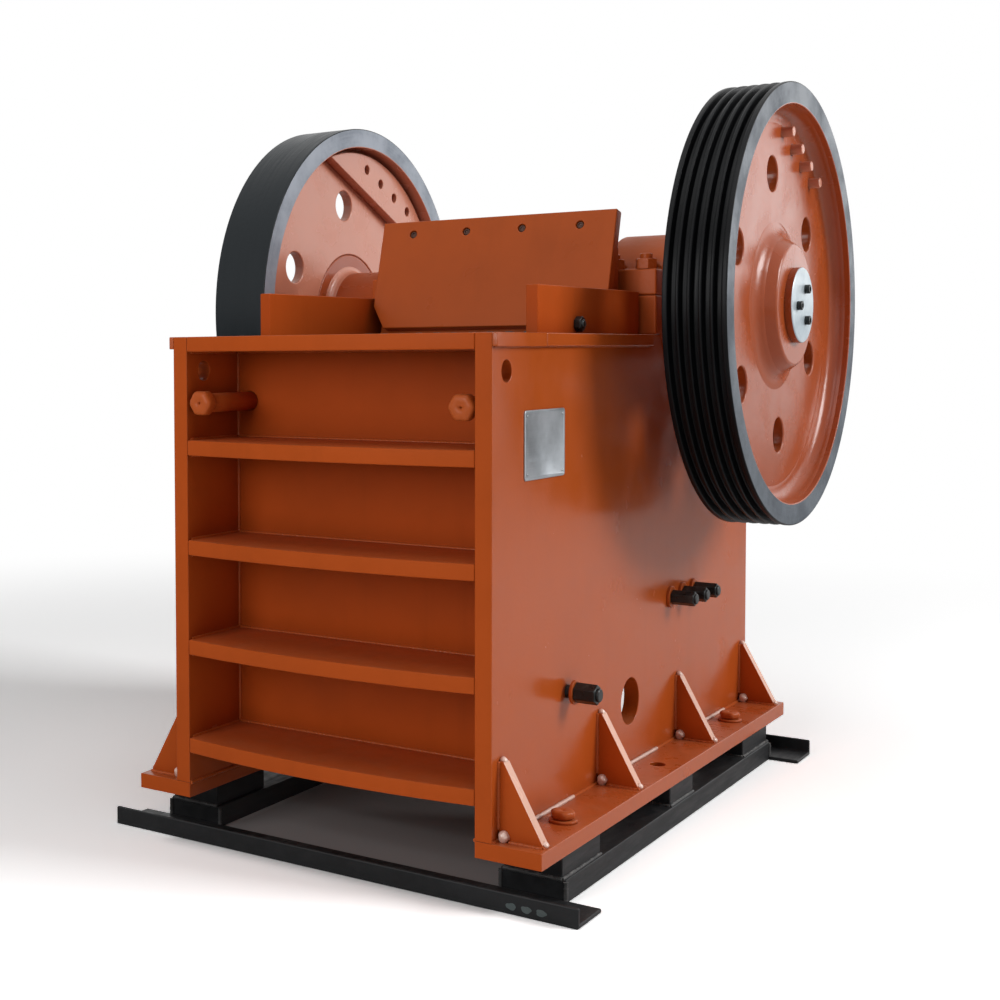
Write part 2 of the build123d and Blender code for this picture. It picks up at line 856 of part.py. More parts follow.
def guard_screw_places():
    """Where the guard's screws stand in the plane of its face."""
    middle = (guard_screw_count - 1) / 2
    y = guard_length - guard_screw_drop
    return [((i - middle) * guard_screw_pitch, y) for i in range(guard_screw_count)]


def guard_plate():
    """The slanted plate over the swing jaw, with clipped lower corners and screw holes."""
    clip_x, clip_y = guard_corner
    outline = [
        (-jaw_half_width + clip_x, 0),
        (jaw_half_width - clip_x, 0),
        (jaw_half_width, clip_y),
        (jaw_half_width, guard_length),
        (-jaw_half_width, guard_length),
        (-jaw_half_width, clip_y),
    ]
    plane = guard_plane()
    plate = extrude(plane * make_face(Polyline(*outline, close=True)), guard_thickness, dir=-plane.z_dir)
    for x, y in guard_screw_places():
        hole = plane * Pos(x, y, -guard_screw_depth / 2)
        plate -= hole * Cylinder(guard_screw_hole_radius, guard_screw_depth)
    return plate


def guard_screws():
    """The screws at the bottom of the guard's holes."""
    height = guard_screw_depth - guard_screw_sunk
    middle = -guard_screw_depth + height / 2
    screw = Cylinder(guard_screw_radius, height)
    return [guard_plane() * Pos(x, y, middle) * screw for x, y in guard_screw_places()]


def cheek_plate(sign):
    """The side liner of the chamber, which stands up above the frame."""
    high = top + cheek_rise
    y1 = housing_front - cheek_rear_gap
    heel = jaw_corners()[2]
    outline = [
        (chamber_front, base + cheek_bottom),
        (chamber_front, high),
        (y1, high),
        (y1, shoulder_z),
        (heel[0], base + cheek_bottom),
    ]
    x0, x1 = sign * cheek_inner, sign * inner_half
    return slab_x(outline, min(x0, x1), max(x0, x1))


# Toggle, tension rod and spring


def toggle_ends():
    """The (y, z) centres of the toggle plate's two rounded ends, the jaw's end first."""
    aft = (beam_y - toggle_seat_stand, base + toggle_rear_height)
    return rear_edge_point(toggle_pocket_height), aft


def toggle_plate():
    """The plate between the swing jaw and the toggle beam, with rounded ends."""
    fore, aft = toggle_ends()
    radius = toggle_thickness / 2
    length = hypot(aft[0] - fore[0], aft[1] - fore[1])
    run = ((aft[0] - fore[0]) / length, (aft[1] - fore[1]) / length)
    side = (-run[1], run[0])
    corners = [
        along(fore, side, radius),
        along(aft, side, radius),
        along(aft, side, -radius),
        along(fore, side, -radius),
    ]
    plate = slab_x(corners, -toggle_half_width, toggle_half_width)
    for y, z in (fore, aft):
        plate += bar_x(-toggle_half_width, toggle_half_width, y, z, radius)
    return plate


def rod_socket():
    """Where the rod's socket in the jaw body opens and ends, along Y."""
    mouth = rear_edge_point(rod_height)[0] + rod_socket_depth
    return mouth, mouth - 2 * rod_socket_depth


def tension_rod():
    """The rod from the swing jaw's heel through the tie plate, with its washer and nut."""
    y0 = rod_socket()[1] + rod_socket_clearance
    z = base + rod_height
    washer_y = rear + spring_length
    nut_y = washer_y + spring_washer_thickness
    nut = Pos(0, nut_y + rod_nut_height / 2, z) * Rot(90, 0, 0) * hexagon(rod_nut_radius, rod_nut_height)
    rod = bar_y(0, y0, rear + rod_rear_reach, z, rod_radius)
    return rod + bar_y(0, washer_y, nut_y, z, spring_washer_radius) + nut


def tension_spring():
    """The coil spring between the tie plate and the rod's washer."""
    rise = spring_length - 2 * spring_wire_radius
    path = Helix(pitch=rise / spring_turns, height=rise, radius=spring_radius)
    section = Plane(origin=path @ 0, z_dir=path % 0) * Circle(spring_wire_radius)
    coil = sweep(section, path=path)
    return Pos(0, rear + spring_wire_radius, base + rod_height) * Rot(-90, 0, 0) * coil


def both_sides(make):
    """The solids that a function makes for the left and for the right side, in one list."""
    solids = []
    for sign in SIDES.values():
        made = make(sign)
        solids += made if isinstance(made, list) else [made]
    return solids


def pieces():
    """Every node's name with its solid or solids."""
    parts = {
        "front_wall": front_wall(),
        "front_ribs": front_ribs(),
        "rear_wall": rear_wall(),
        "rear_ribs": rear_ribs(),
        "rear_tie_plate": rear_tie_plate(),
        "toggle_beam": toggle_beam(),
        "toggle_plate": toggle_plate(),
        "fixed_jaw": fixed_jaw(),
        "nameplate": nameplate(),
        "skid_cross_bars": [skid_cross(runner_front, -1), skid_cross(runner_rear, 1)],
        "eccentric_shaft": eccentric_shaft(),
        "pulley_rim": wheel_rim(SIDES["right"], pulley_width, groove_profile(pulley_width)),
        "pulley_web": wheel_web(SIDES["right"]),
        "flywheel_rim": wheel_rim(SIDES["left"], flywheel_width, []),
        "flywheel_web": wheel_web(SIDES["left"]),
        "swing_jaw": swing_jaw(),
        "jaw_barrel": jaw_barrel(),
        "barrel_rings": barrel_rings(),
        "moving_jaw": moving_jaw(),
        "guard_plate": guard_plate(),
        "guard_screws": guard_screws(),
        "tension_rod": tension_rod(),
        "tension_spring": tension_spring(),
        "top_rims": both_sides(top_rim),
        "clamp_bolts": both_sides(clamp_bolt),
        "cheek_bolts": both_sides(cheek_bolt),
        "side_studs": both_sides(side_studs),
        "side_washers": both_sides(side_washers),
        "anchor_bolts": both_sides(anchor_bolts),
        "bearing_housings": both_sides(bearing_housing),
        "bearing_caps": both_sides(bearing_cap),
        "cap_nuts": both_sides(cap_nuts),
        "skid_runners": both_sides(skid_runner),
        "skid_pads": both_sides(skid_pads),
        "counterweights": both_sides(counterweight),
        "wheel_hubs": both_sides(wheel_hub),
        "shaft_end_plates": both_sides(shaft_end_plate),
    }
    for side, sign in SIDES.items():
        parts[f"side_plate_{side}"] = side_plate(sign)
        parts[f"base_flange_{side}"] = base_flange(sign)
        parts[f"gussets_{side}"] = gussets(sign)
        parts[f"cheek_plate_{side}"] = cheek_plate(sign)
    return parts


def main():
    """Writes each node to its own file."""
    os.makedirs("parts", exist_ok=True)
    for name, shape in pieces().items():
        whole = Compound(children=shape) if isinstance(shape, list) else shape
        export_step(whole, f"parts/{name}.step")


main()
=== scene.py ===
"""Looks of the jaw crusher: rounded edges, welds, threads, finishes and the studio round it.

Metres, +Z up. X runs along the eccentric shaft, with the grooved pulley on +X, and the ribbed
front wall faces -Y. Every piece is built in place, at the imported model's own sizes.
"""

import logging
import math
from dataclasses import dataclass, field
from enum import Enum
from typing import Callable, Iterable, Optional, Sequence, Union

import bmesh
import bpy
from mathutils import Matrix, Vector


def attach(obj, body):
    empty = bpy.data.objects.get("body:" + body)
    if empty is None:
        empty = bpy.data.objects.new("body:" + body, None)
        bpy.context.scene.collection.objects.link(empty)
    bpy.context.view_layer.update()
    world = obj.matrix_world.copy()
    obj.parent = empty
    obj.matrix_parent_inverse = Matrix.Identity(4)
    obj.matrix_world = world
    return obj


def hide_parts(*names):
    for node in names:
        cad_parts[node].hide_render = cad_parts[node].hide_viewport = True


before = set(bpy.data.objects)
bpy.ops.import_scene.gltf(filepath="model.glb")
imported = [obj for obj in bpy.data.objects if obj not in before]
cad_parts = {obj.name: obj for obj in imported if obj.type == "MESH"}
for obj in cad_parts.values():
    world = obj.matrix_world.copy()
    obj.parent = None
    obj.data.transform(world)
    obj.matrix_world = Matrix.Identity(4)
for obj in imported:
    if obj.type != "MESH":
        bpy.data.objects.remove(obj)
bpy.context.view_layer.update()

MERGE_DISTANCE = 1e-6
FLAT_ANGLE = math.radians(0.4)
SHARP_ANGLE = math.radians(32)

log = logging.getLogger("crusher")

Colour = tuple[float, float, float]
Flat = tuple[float, float]
Point = tuple[float, float, float]
Seams = list[list[Point]]
Swell = Callable[[float, float], float]
Socket = bpy.types.NodeSocket
Value = Union[float, Socket]


class Body(Enum):
    """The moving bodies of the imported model."""

    FRAME = "frame"
    ROTOR = "rotor"
    JAW = "jaw"


class Side(Enum):
    """The two sides of the machine; the value is the sign of X."""

    LEFT = -1
    RIGHT = 1


@dataclass(frozen=True)
class Layout:
    """Places that several sub-assemblies share."""

    shaft_y: float = 0.214
    shaft_z: float = 1.232
    front: float = -0.886
    rear: float = 0.726
    base: float = 0.100
    plate_bottom: float = 0.135
    top: float = 1.163
    half_width: float = 0.400
    inner_half: float = 0.362
    wall_front: float = -0.683
    wall_back: float = -0.651


LAYOUT = Layout()


# Materials


class Tree:
    """Adds nodes to one tree and links them."""

    tree: bpy.types.NodeTree

    def add(self, kind: str, **settings: object) -> bpy.types.Node:
        """Adds a node.

        Args:
            kind: the node's type.
            **settings: properties set on it.

        Returns:
            The node.
        """
        node = self.tree.nodes.new(kind)
        for name, value in settings.items():
            setattr(node, name, value)
        return node

    def feed(self, socket: Socket, value: object) -> None:
        """Links a socket to another one, or writes a constant into it.

        Args:
            socket: the input.
            value: the other node's output, or the constant.
        """
        if isinstance(value, bpy.types.NodeSocket):
            self.tree.links.new(value, socket)
        elif socket.type == "RGBA":
            socket.default_value = (*value, 1.0)
        else:
            socket.default_value = value

    def maths(self, operation: str, first: Value, second: Value = 0.0) -> Socket:
        """The result of a Math node.

        Args:
            operation: what the node works out.
            first: its first value.
            second: its second value.

        Returns:
            The result.
        """
        node = self.add("ShaderNodeMath", operation=operation)
        self.feed(node.inputs[0], first)
        self.feed(node.inputs[1], second)
        return node.outputs[0]


class Shading(Tree):
    """Builds the node tree of one material."""

    def __init__(self, name: str) -> None:
        """Starts an empty material with a Principled surface.

        Args:
            name: the material's name.
        """
        self.material = bpy.data.materials.new(name)
        self.material.use_nodes = True
        self.tree = self.material.node_tree
        self.tree.nodes.clear()
        self.surface = self.add("ShaderNodeBsdfPrincipled")
        output = self.add("ShaderNodeOutputMaterial")
        self.tree.links.new(self.surface.outputs[0], output.inputs["Surface"])
        self.position = self.add("ShaderNodeTexCoord").outputs["Object"]

    def set(self, name: str, value: Union[Value, Colour]) -> None:
        """Feeds an input of the Principled surface."""
        self.feed(self.surface.inputs[name], value)

    def split(self, vector: Socket) -> tuple[Socket, Socket, Socket]:
        """The three parts of a vector.

        Args:
            vector: the vector.

        Returns:
            Its x, y and z.
        """
        node = self.add("ShaderNodeSeparateXYZ")
        self.feed(node.inputs[0], vector)
        return node.outputs[0], node.outputs[1], node.outputs[2]

    def join(self, x: Value, y: Value, z: Value) -> Socket:
        """A vector from three parts.

        Args:
            x: the first part.
            y: the second part.
            z: the third part.

        Returns:
            The vector.
        """
        node = self.add("ShaderNodeCombineXYZ")
        for socket, value in zip(node.inputs, (x, y, z)):
            self.feed(socket, value)
        return node.outputs[0]

    def stretched(self, scale: Point, offset: float = 0.0) -> Socket:
        """The object's coordinates scaled by direction, shifted to give another sample.

        Args:
            scale: the scale along x, y and z.
            offset: how far they are shifted.

        Returns:
            The coordinates.
        """
        node = self.add("ShaderNodeMapping")
        self.feed(node.inputs["Vector"], self.position)
        self.feed(node.inputs["Scale"], scale)
        self.feed(node.inputs["Location"], (offset, offset, offset))
        return node.outputs[0]

    def noise(
        self,
        scale: float,
        detail: float = 3.0,
        roughness: float = 0.55,
        vector: Optional[Socket] = None,
        offset: float = 0.0,
    ) -> Socket:
        """Fractal noise between 0 and 1 over the object's coordinates.

        Args:
            scale: cells to the metre.
            detail: octaves.
            roughness: the share of the finer octaves.
            vector: other coordinates to read.
            offset: a shift that gives another sample.

        Returns:
            The noise's value.
        """
        node = self.add("ShaderNodeTexNoise")
        where = vector if vector is not None else self.stretched((1.0, 1.0, 1.0), offset)
        self.feed(node.inputs["Vector"], where)
        self.feed(node.inputs["Scale"], scale)
        self.feed(node.inputs["Detail"], detail)
        self.feed(node.inputs["Roughness"], roughness)
        return node.outputs["Fac"]

    def band(
        self, value: Value, low: float, high: float, to_low: float = 0.0, to_high: float = 1.0
    ) -> Socket:
        """A smooth step of a value from one level to another.

        Args:
            value: the value.
            low: the value where the step begins.
            high: the value where it ends.
            to_low: the level below the step.
            to_high: the level above it.

        Returns:
            The level.
        """
        node = self.add("ShaderNodeMapRange", interpolation_type="SMOOTHSTEP")
        self.feed(node.inputs["Value"], value)
        for name, number in (("From Min", low), ("From Max", high), ("To Min", to_low), ("To Max", to_high)):
            self.feed(node.inputs[name], number)
        return node.outputs["Result"]

    def blend(self, share: Value, first: Union[Colour, Socket], second: Union[Colour, Socket]) -> Socket:
        """A mix of two colours.

        Args:
            share: how much there is of the second.
            first: the first colour.
            second: the second colour.

        Returns:
            The mixed colour.
        """
        node = self.add("ShaderNodeMix", data_type="RGBA")
        self.feed(node.inputs[0], share)
        self.feed(node.inputs[6], first)
        self.feed(node.inputs[7], second)
        return node.outputs[2]

    def bump(self, height: Value, depth: float, under: Optional[Socket] = None) -> Socket:
        """A bump over the surface.

        Args:
            height: the relief, between 0 and 1.
            depth: metres from 0 to 1.
            under: a coarser bump that this one lies on.

        Returns:
            The bumped normal.
        """
        node = self.add("ShaderNodeBump")
        self.feed(node.inputs["Distance"], depth)
        self.feed(node.inputs["Height"], height)
        if under is not None:
            self.feed(node.inputs["Normal"], under)
        return node.outputs["Normal"]

    def upward(self) -> Socket:
        """How far the surface faces up, from -1 to 1."""
        return self.split(self.add("ShaderNodeTexCoord").outputs["Normal"])[2]

    def crevice(self, distance: float) -> Socket:
        """How open a place is, from 0 in a corner to 1 in the open.

        Args:
            distance: how far it looks.

        Returns:
            How open it is.
        """
        node = self.add("ShaderNodeAmbientOcclusion", samples=6)
        self.feed(node.inputs["Distance"], distance)
        return node.outputs["AO"]

    def about_shaft(self) -> tuple[Socket, Socket, Socket, Socket]:
        """Cylinder coordinates about the shaft.

        Returns:
            The place along X, the radius, and the unit direction's two parts.
        """
        x, y, z = self.split(self.position)
        across = self.maths("SUBTRACT", y, LAYOUT.shaft_y)
        height = self.maths("SUBTRACT", z, LAYOUT.shaft_z)
        squares = [self.maths("MULTIPLY", part, part) for part in (across, height)]
        radius = self.maths("SQRT", self.maths("ADD", *squares))
        return x, radius, self.maths("DIVIDE", across, radius), self.maths("DIVIDE", height, radius)

    def drawn_round(
        self, along: Socket, across: Socket, height: Socket, fine: float, coarse: float
    ) -> Socket:
        """Coordinates for marks drawn out round the shaft.

        Args:
            along: the measure that the marks are fine along.
            across: the first part of the direction from the shaft.
            height: its second part.
            fine: the scale along the measure.
            coarse: the scale round the shaft.

        Returns:
            The coordinates.
        """
        pairs = ((along, fine), (across, coarse), (height, coarse))
        return self.join(*(self.maths("MULTIPLY", part, scale) for part, scale in pairs))


@dataclass(frozen=True)
class Finish:
    """A surface finish; a subclass fills in the node tree."""

    name: str

    def material(self) -> bpy.types.Material:
        """The finish's material, made once.

        Returns:
            The material.
        """
        known = bpy.data.materials.get(self.name)
        if known is not None:
            return known
        shading = Shading(self.name)
        self.fill(shading)
        return shading.material

    def fill(self, shading: Shading) -> None:
        """Builds the finish's nodes."""
        raise NotImplementedError


@dataclass(frozen=True)
class Enamel(Finish):
    """Thick gloss enamel: uneven in tone, with orange peel, dusty where it faces up."""

    colour: Colour = (0.45, 0.083, 0.013)
    tone: float = 0.16
    gloss_roughness: float = 0.34
    specular: float = 0.16
    dust: float = 0.30
    dust_colour: Colour = (0.42, 0.17, 0.09)
    # The next three fields set the painted shade that darkens the paint in corners.
    corner_share: float = 0.55
    corner_reach: float = 0.06
    corner_shade_share: float = 0.42
    streak_share: float = 0.22
    cloud_share: float = 0.65
    cloud_scale: float = 1.6
    patch_scale: float = 11.0
    run_scale: Point = (16.0, 16.0, 0.9)
    speck_scale: float = 26.0
    peel_scale: float = 95.0
    peel_depth: float = 0.00025
    sand_scale: float = 320.0
    swell_scale: float = 38.0
    cast_depth: float = 0.0
    sand_share: float = 0.18

    def fill(self, shading: Shading) -> None:
        """Builds the enamel's nodes.

        Args:
            shading: the material's tree.
        """
        patch = shading.noise(self.patch_scale, 3.0, offset=3.1)
        colour, dusty = self.layers(shading, patch)
        shading.set("Base Color", colour)
        smear = shading.band(patch, 0.3, 0.75, -0.05, 0.07)
        dull = shading.maths("MULTIPLY", dusty, 0.6)
        rough = shading.maths("ADD", shading.maths("ADD", smear, dull), self.gloss_roughness)
        shading.set("Roughness", rough)
        shading.set("Specular IOR Level", self.specular)
        normal = shading.bump(shading.noise(self.peel_scale, 2.0), self.peel_depth)
        if self.cast_depth > 0:
            sand = shading.noise(self.sand_scale, 3.0, 0.6, offset=2.0)
            swell = shading.noise(self.swell_scale, 3.0, 0.5, offset=6.0)
            normal = shading.bump(swell, self.cast_depth, under=normal)
            normal = shading.bump(sand, self.cast_depth * self.sand_share, under=normal)
        shading.set("Normal", normal)

    def layers(self, shading: Shading, patch: Socket) -> tuple[Socket, Socket]:
        """The paint's colour with its clouds, runs and dust, and painted shade in its corners.

        Args:
            shading: the material's tree.
            patch: the noise of the middle-sized patches.

        Returns:
            The colour, and how dusty a place is.
        """
        cloud = shading.noise(self.cloud_scale, 4.0)
        dark = tuple(channel * (1 - self.tone) for channel in self.colour)
        light = tuple(min(1.0, channel * (1 + self.tone)) for channel in self.colour)
        share = shading.band(shading.maths("MULTIPLY_ADD", patch, 0.4), 0.0, 1.0)
        broad = shading.maths("MULTIPLY", cloud, self.cloud_share)
        mixed = shading.maths("ADD", broad, shading.maths("MULTIPLY", share, 1 - self.cloud_share))
        colour = shading.blend(shading.band(mixed, 0.25, 0.75), dark, light)
        run = shading.noise(1.0, 3.0, vector=shading.stretched(self.run_scale, 5.0))
        colour = shading.blend(shading.band(run, 0.52, 0.72, 0.0, self.streak_share), colour, dark)
        # Painted shade: the colour darkens where ambient occlusion finds the surface closed in, in corners
        # and recesses.
        corner = shading.band(shading.crevice(self.corner_reach), 0.35, 0.95, self.corner_share, 1.0)
        corner_shade = tuple(channel * self.corner_shade_share for channel in self.colour)
        colour = shading.blend(corner, corner_shade, colour)
        upward = shading.band(shading.upward(), 0.55, 0.95)
        speck = shading.band(shading.noise(self.speck_scale, 5.0, 0.65, offset=8.0), 0.35, 0.75, 0.35, 1.0)
        dusty = shading.maths("MULTIPLY", shading.maths("MULTIPLY", upward, speck), self.dust)
        return shading.blend(dusty, colour, self.dust_colour), dusty


@dataclass(frozen=True)
class RimBlack(Finish):
    """Black paint on a wheel's running face, streaked along the circumference."""

    colour: Colour = (0.0030, 0.0033, 0.0040)
    worn: Colour = (0.014, 0.017, 0.020)
    wear: float = 0.35
    gloss_roughness: float = 0.34
    specular: float = 0.12
    streak_scale: float = 260.0
    streak_length: float = 2.2
    streak_depth: float = 0.00012
    cloud_scale: float = 5.0
    peel_scale: float = 70.0
    peel_depth: float = 0.0003

    def fill(self, shading: Shading) -> None:
        """Builds the black's nodes.

        Args:
            shading: the material's tree.
        """
        x, radius, across, height = shading.about_shaft()
        along = shading.maths("ADD", x, radius)
        streaks = shading.drawn_round(along, across, height, self.streak_scale, self.streak_length)
        line = shading.noise(1.0, 4.0, 0.6, vector=streaks)
        cloud = shading.noise(self.cloud_scale, 4.0, 0.6, offset=4.0)
        mark = shading.maths("MULTIPLY", shading.band(line, 0.42, 0.72), shading.band(cloud, 0.35, 0.7))
        worn = shading.maths("MULTIPLY", mark, self.wear)
        shading.set("Base Color", shading.blend(worn, self.colour, self.worn))
        rough = shading.band(line, 0.3, 0.7, self.gloss_roughness - 0.06, self.gloss_roughness + 0.14)
        shading.set("Roughness", rough)
        shading.set("Specular IOR Level", self.specular)
        normal = shading.bump(line, self.streak_depth)
        peel = shading.noise(self.peel_scale, 3.0)
        shading.set("Normal", shading.bump(peel, self.peel_depth, under=normal))


@dataclass(frozen=True)
class TurnedSteel(Finish):
    """A face turned on a lathe: fine rings about the shaft, with oil smears and dull clouds."""

    colour: Colour = (0.34, 0.37, 0.39)
    stained: Colour = (0.17, 0.20, 0.23)
    metallic: float = 0.55
    specular: float = 0.5
    gloss_roughness: float = 0.36
    ring_pitch: float = 0.0011
    ring_depth: float = 0.00003
    band_scale: float = 180.0
    band_length: float = 3.0
    band_depth: float = 0.00015
    cloud_scale: float = 7.0

    def fill(self, shading: Shading) -> None:
        """Builds the turned face's nodes.

        Args:
            shading: the material's tree.
        """
        _, radius, across, height = shading.about_shaft()
        turn = shading.drawn_round(radius, across, height, self.band_scale, self.band_length)
        band = shading.noise(1.0, 5.0, 0.6, vector=turn)
        cloud = shading.noise(self.cloud_scale, 5.0, 0.62, offset=1.7)
        uneven = shading.band(band, 0.25, 0.75, 0.55, 1.0)
        stain = shading.maths("MULTIPLY", shading.band(cloud, 0.38, 0.68), uneven)
        shading.set("Base Color", shading.blend(stain, self.colour, self.stained))
        shading.set("Metallic", self.metallic)
        shading.set("Specular IOR Level", self.specular)
        rough = shading.band(cloud, 0.3, 0.7, self.gloss_roughness - 0.06, self.gloss_roughness + 0.16)
        shading.set("Roughness", rough)
        phase = shading.maths("MULTIPLY", radius, 2 * math.pi / self.ring_pitch)
        rings = shading.maths("MULTIPLY_ADD", shading.maths("SINE", phase), 0.5)
        normal = shading.bump(rings, self.ring_depth)
        shading.set("Normal", shading.bump(band, self.band_depth, under=normal))


@dataclass(frozen=True)
class MachinedSteel(Finish):
    """Plain turned or ground steel away from the wheels, lightly oiled."""

    colour: Colour = (0.32, 0.33, 0.34)
    stained: Colour = (0.16, 0.14, 0.12)
    metallic: float = 0.85
    gloss_roughness: float = 0.34
    cloud_scale: float = 18.0
    scratch_scale: Point = (700.0, 60.0, 700.0)
    scratch_depth: float = 0.00006

    def fill(self, shading: Shading) -> None:
        """Builds the steel's nodes.

        Args:
            shading: the material's tree.
        """
        cloud = shading.noise(self.cloud_scale, 5.0, 0.6)
        scratch = shading.noise(1.0, 4.0, 0.6, vector=shading.stretched(self.scratch_scale))
        shading.set("Base Color", shading.blend(shading.band(cloud, 0.45, 0.75), self.colour, self.stained))
        shading.set("Metallic", self.metallic)
        rough = shading.band(scratch, 0.3, 0.7, self.gloss_roughness, self.gloss_roughness + 0.18)
        shading.set("Roughness", rough)
        shading.set("Normal", shading.bump(scratch, self.scratch_depth))


@dataclass(frozen=True)
class CastSteel(Finish):
    """Dark cast wear steel: sandy, with rust in the hollows and pale rubbed places."""

    colour: Colour = (0.055, 0.050, 0.047)
    rubbed: Colour = (0.16, 0.155, 0.15)
    rust: Colour = (0.13, 0.052, 0.024)
    rubbed_scale: float = 9.0
    rust_scale: float = 15.0
    rust_share: float = 0.75
    swell_scale: float = 24.0
    swell_depth: float = 0.0011
    sand_scale: float = 210.0
    sand_depth: float = 0.0003

    def fill(self, shading: Shading) -> None:
        """Builds the casting's nodes.

        Args:
            shading: the material's tree.
        """
        sand = shading.noise(self.sand_scale, 4.0, 0.65)
        swell = shading.noise(self.swell_scale, 4.0, 0.55, offset=2.0)
        rubbed = shading.band(shading.noise(self.rubbed_scale, 5.0, 0.6, offset=7.0), 0.52, 0.72)
        rusty = shading.noise(self.rust_scale, 6.0, 0.65, offset=4.0)
        rust = shading.band(rusty, 0.5, 0.72, 0.0, self.rust_share)
        colour = shading.blend(rubbed, self.colour, self.rubbed)
        shading.set("Base Color", shading.blend(rust, colour, self.rust))
        shading.set("Metallic", shading.band(rust, 0.0, 0.7, 0.55, 0.0))
        shading.set("Roughness", shading.band(swell, 0.3, 0.7, 0.48, 0.68))
        normal = shading.bump(swell, self.swell_depth)
        shading.set("Normal", shading.bump(sand, self.sand_depth, under=normal))


@dataclass(frozen=True)
class SatinBlack(Finish):
    """Satin black paint on rolled steel: mill texture, dust on top and rubbed edges."""

    colour: Colour = (0.0065, 0.0068, 0.0075)
    pale_gain: float = 1.9
    dust_colour: Colour = (0.060, 0.056, 0.054)
    dust: float = 0.5
    gloss_roughness: float = 0.42
    specular: float = 0.25
    cloud_scale: float = 3.2
    mill_scale: Point = (60.0, 7.0, 60.0)
    mill_depth: float = 0.0005
    speck_scale: float = 55.0
    grain_scale: float = 140.0
    grain_depth: float = 0.0002

    def fill(self, shading: Shading) -> None:
        """Builds the black's nodes.

        Args:
            shading: the material's tree.
        """
        cloud = shading.noise(self.cloud_scale, 5.0, 0.6)
        mill = shading.noise(1.0, 4.0, 0.6, vector=shading.stretched(self.mill_scale, 2.0))
        speck = shading.band(shading.noise(self.speck_scale, 6.0, 0.7, offset=6.0), 0.42, 0.75)
        upward = shading.band(shading.upward(), 0.5, 0.95, 0.12, 1.0)
        share = shading.maths("MULTIPLY", shading.maths("MULTIPLY", upward, speck), self.dust)
        pale = tuple(channel * self.pale_gain for channel in self.colour)
        colour = shading.blend(shading.band(cloud, 0.35, 0.7), self.colour, pale)
        shading.set("Base Color", shading.blend(share, colour, self.dust_colour))
        dull = shading.maths("MULTIPLY", share, 0.4)
        rough = shading.band(mill, 0.3, 0.7, self.gloss_roughness - 0.07, self.gloss_roughness + 0.1)
        shading.set("Roughness", shading.maths("ADD", rough, dull))
        shading.set("Specular IOR Level", self.specular)
        normal = shading.bump(mill, self.mill_depth)
        grain = shading.noise(self.grain_scale, 3.0, offset=1.0)
        shading.set("Normal", shading.bump(grain, self.grain_depth, under=normal))


@dataclass(frozen=True)
class BlackOxide(Finish):
    """Oiled black oxide on studs, nuts and screws."""

    colour: Colour = (0.010, 0.012, 0.012)
    worn: Colour = (0.07, 0.075, 0.075)
    wear: float = 0.5
    metallic: float = 0.35
    cloud_scale: float = 60.0
    grain_scale: float = 420.0
    grain_depth: float = 0.00012

    def fill(self, shading: Shading) -> None:
        """Builds the oxide's nodes.

        Args:
            shading: the material's tree.
        """
        cloud = shading.noise(self.cloud_scale, 5.0, 0.6)
        fine = shading.noise(self.grain_scale, 3.0, 0.6, offset=3.0)
        worn = shading.band(cloud, 0.5, 0.78, 0.0, self.wear)
        shading.set("Base Color", shading.blend(worn, self.colour, self.worn))
        shading.set("Metallic", self.metallic)
        shading.set("Roughness", shading.band(cloud, 0.3, 0.7, 0.26, 0.42))
        shading.set("Normal", shading.bump(fine, self.grain_depth))


@dataclass(frozen=True)
class BareAluminium(Finish):
    """Brushed bare aluminium sheet, blank."""

    colour: Colour = (0.46, 0.49, 0.52)
    metallic: float = 0.75
    dull_share: float = 0.7
    brush_scale: Point = (900.0, 12.0, 900.0)
    brush_depth: float = 0.00005
    cloud_scale: float = 12.0

    def fill(self, shading: Shading) -> None:
        """Builds the sheet's nodes.

        Args:
            shading: the material's tree.
        """
        brush = shading.noise(1.0, 4.0, 0.6, vector=shading.stretched(self.brush_scale))
        cloud = shading.noise(self.cloud_scale, 4.0, 0.6, offset=5.0)
        dull = tuple(channel * self.dull_share for channel in self.colour)
        shading.set("Base Color", shading.blend(shading.band(cloud, 0.3, 0.75), self.colour, dull))
        shading.set("Metallic", self.metallic)
        shading.set("Roughness", shading.band(brush, 0.3, 0.7, 0.34, 0.5))
        shading.set("Normal", shading.bump(brush, self.brush_depth))


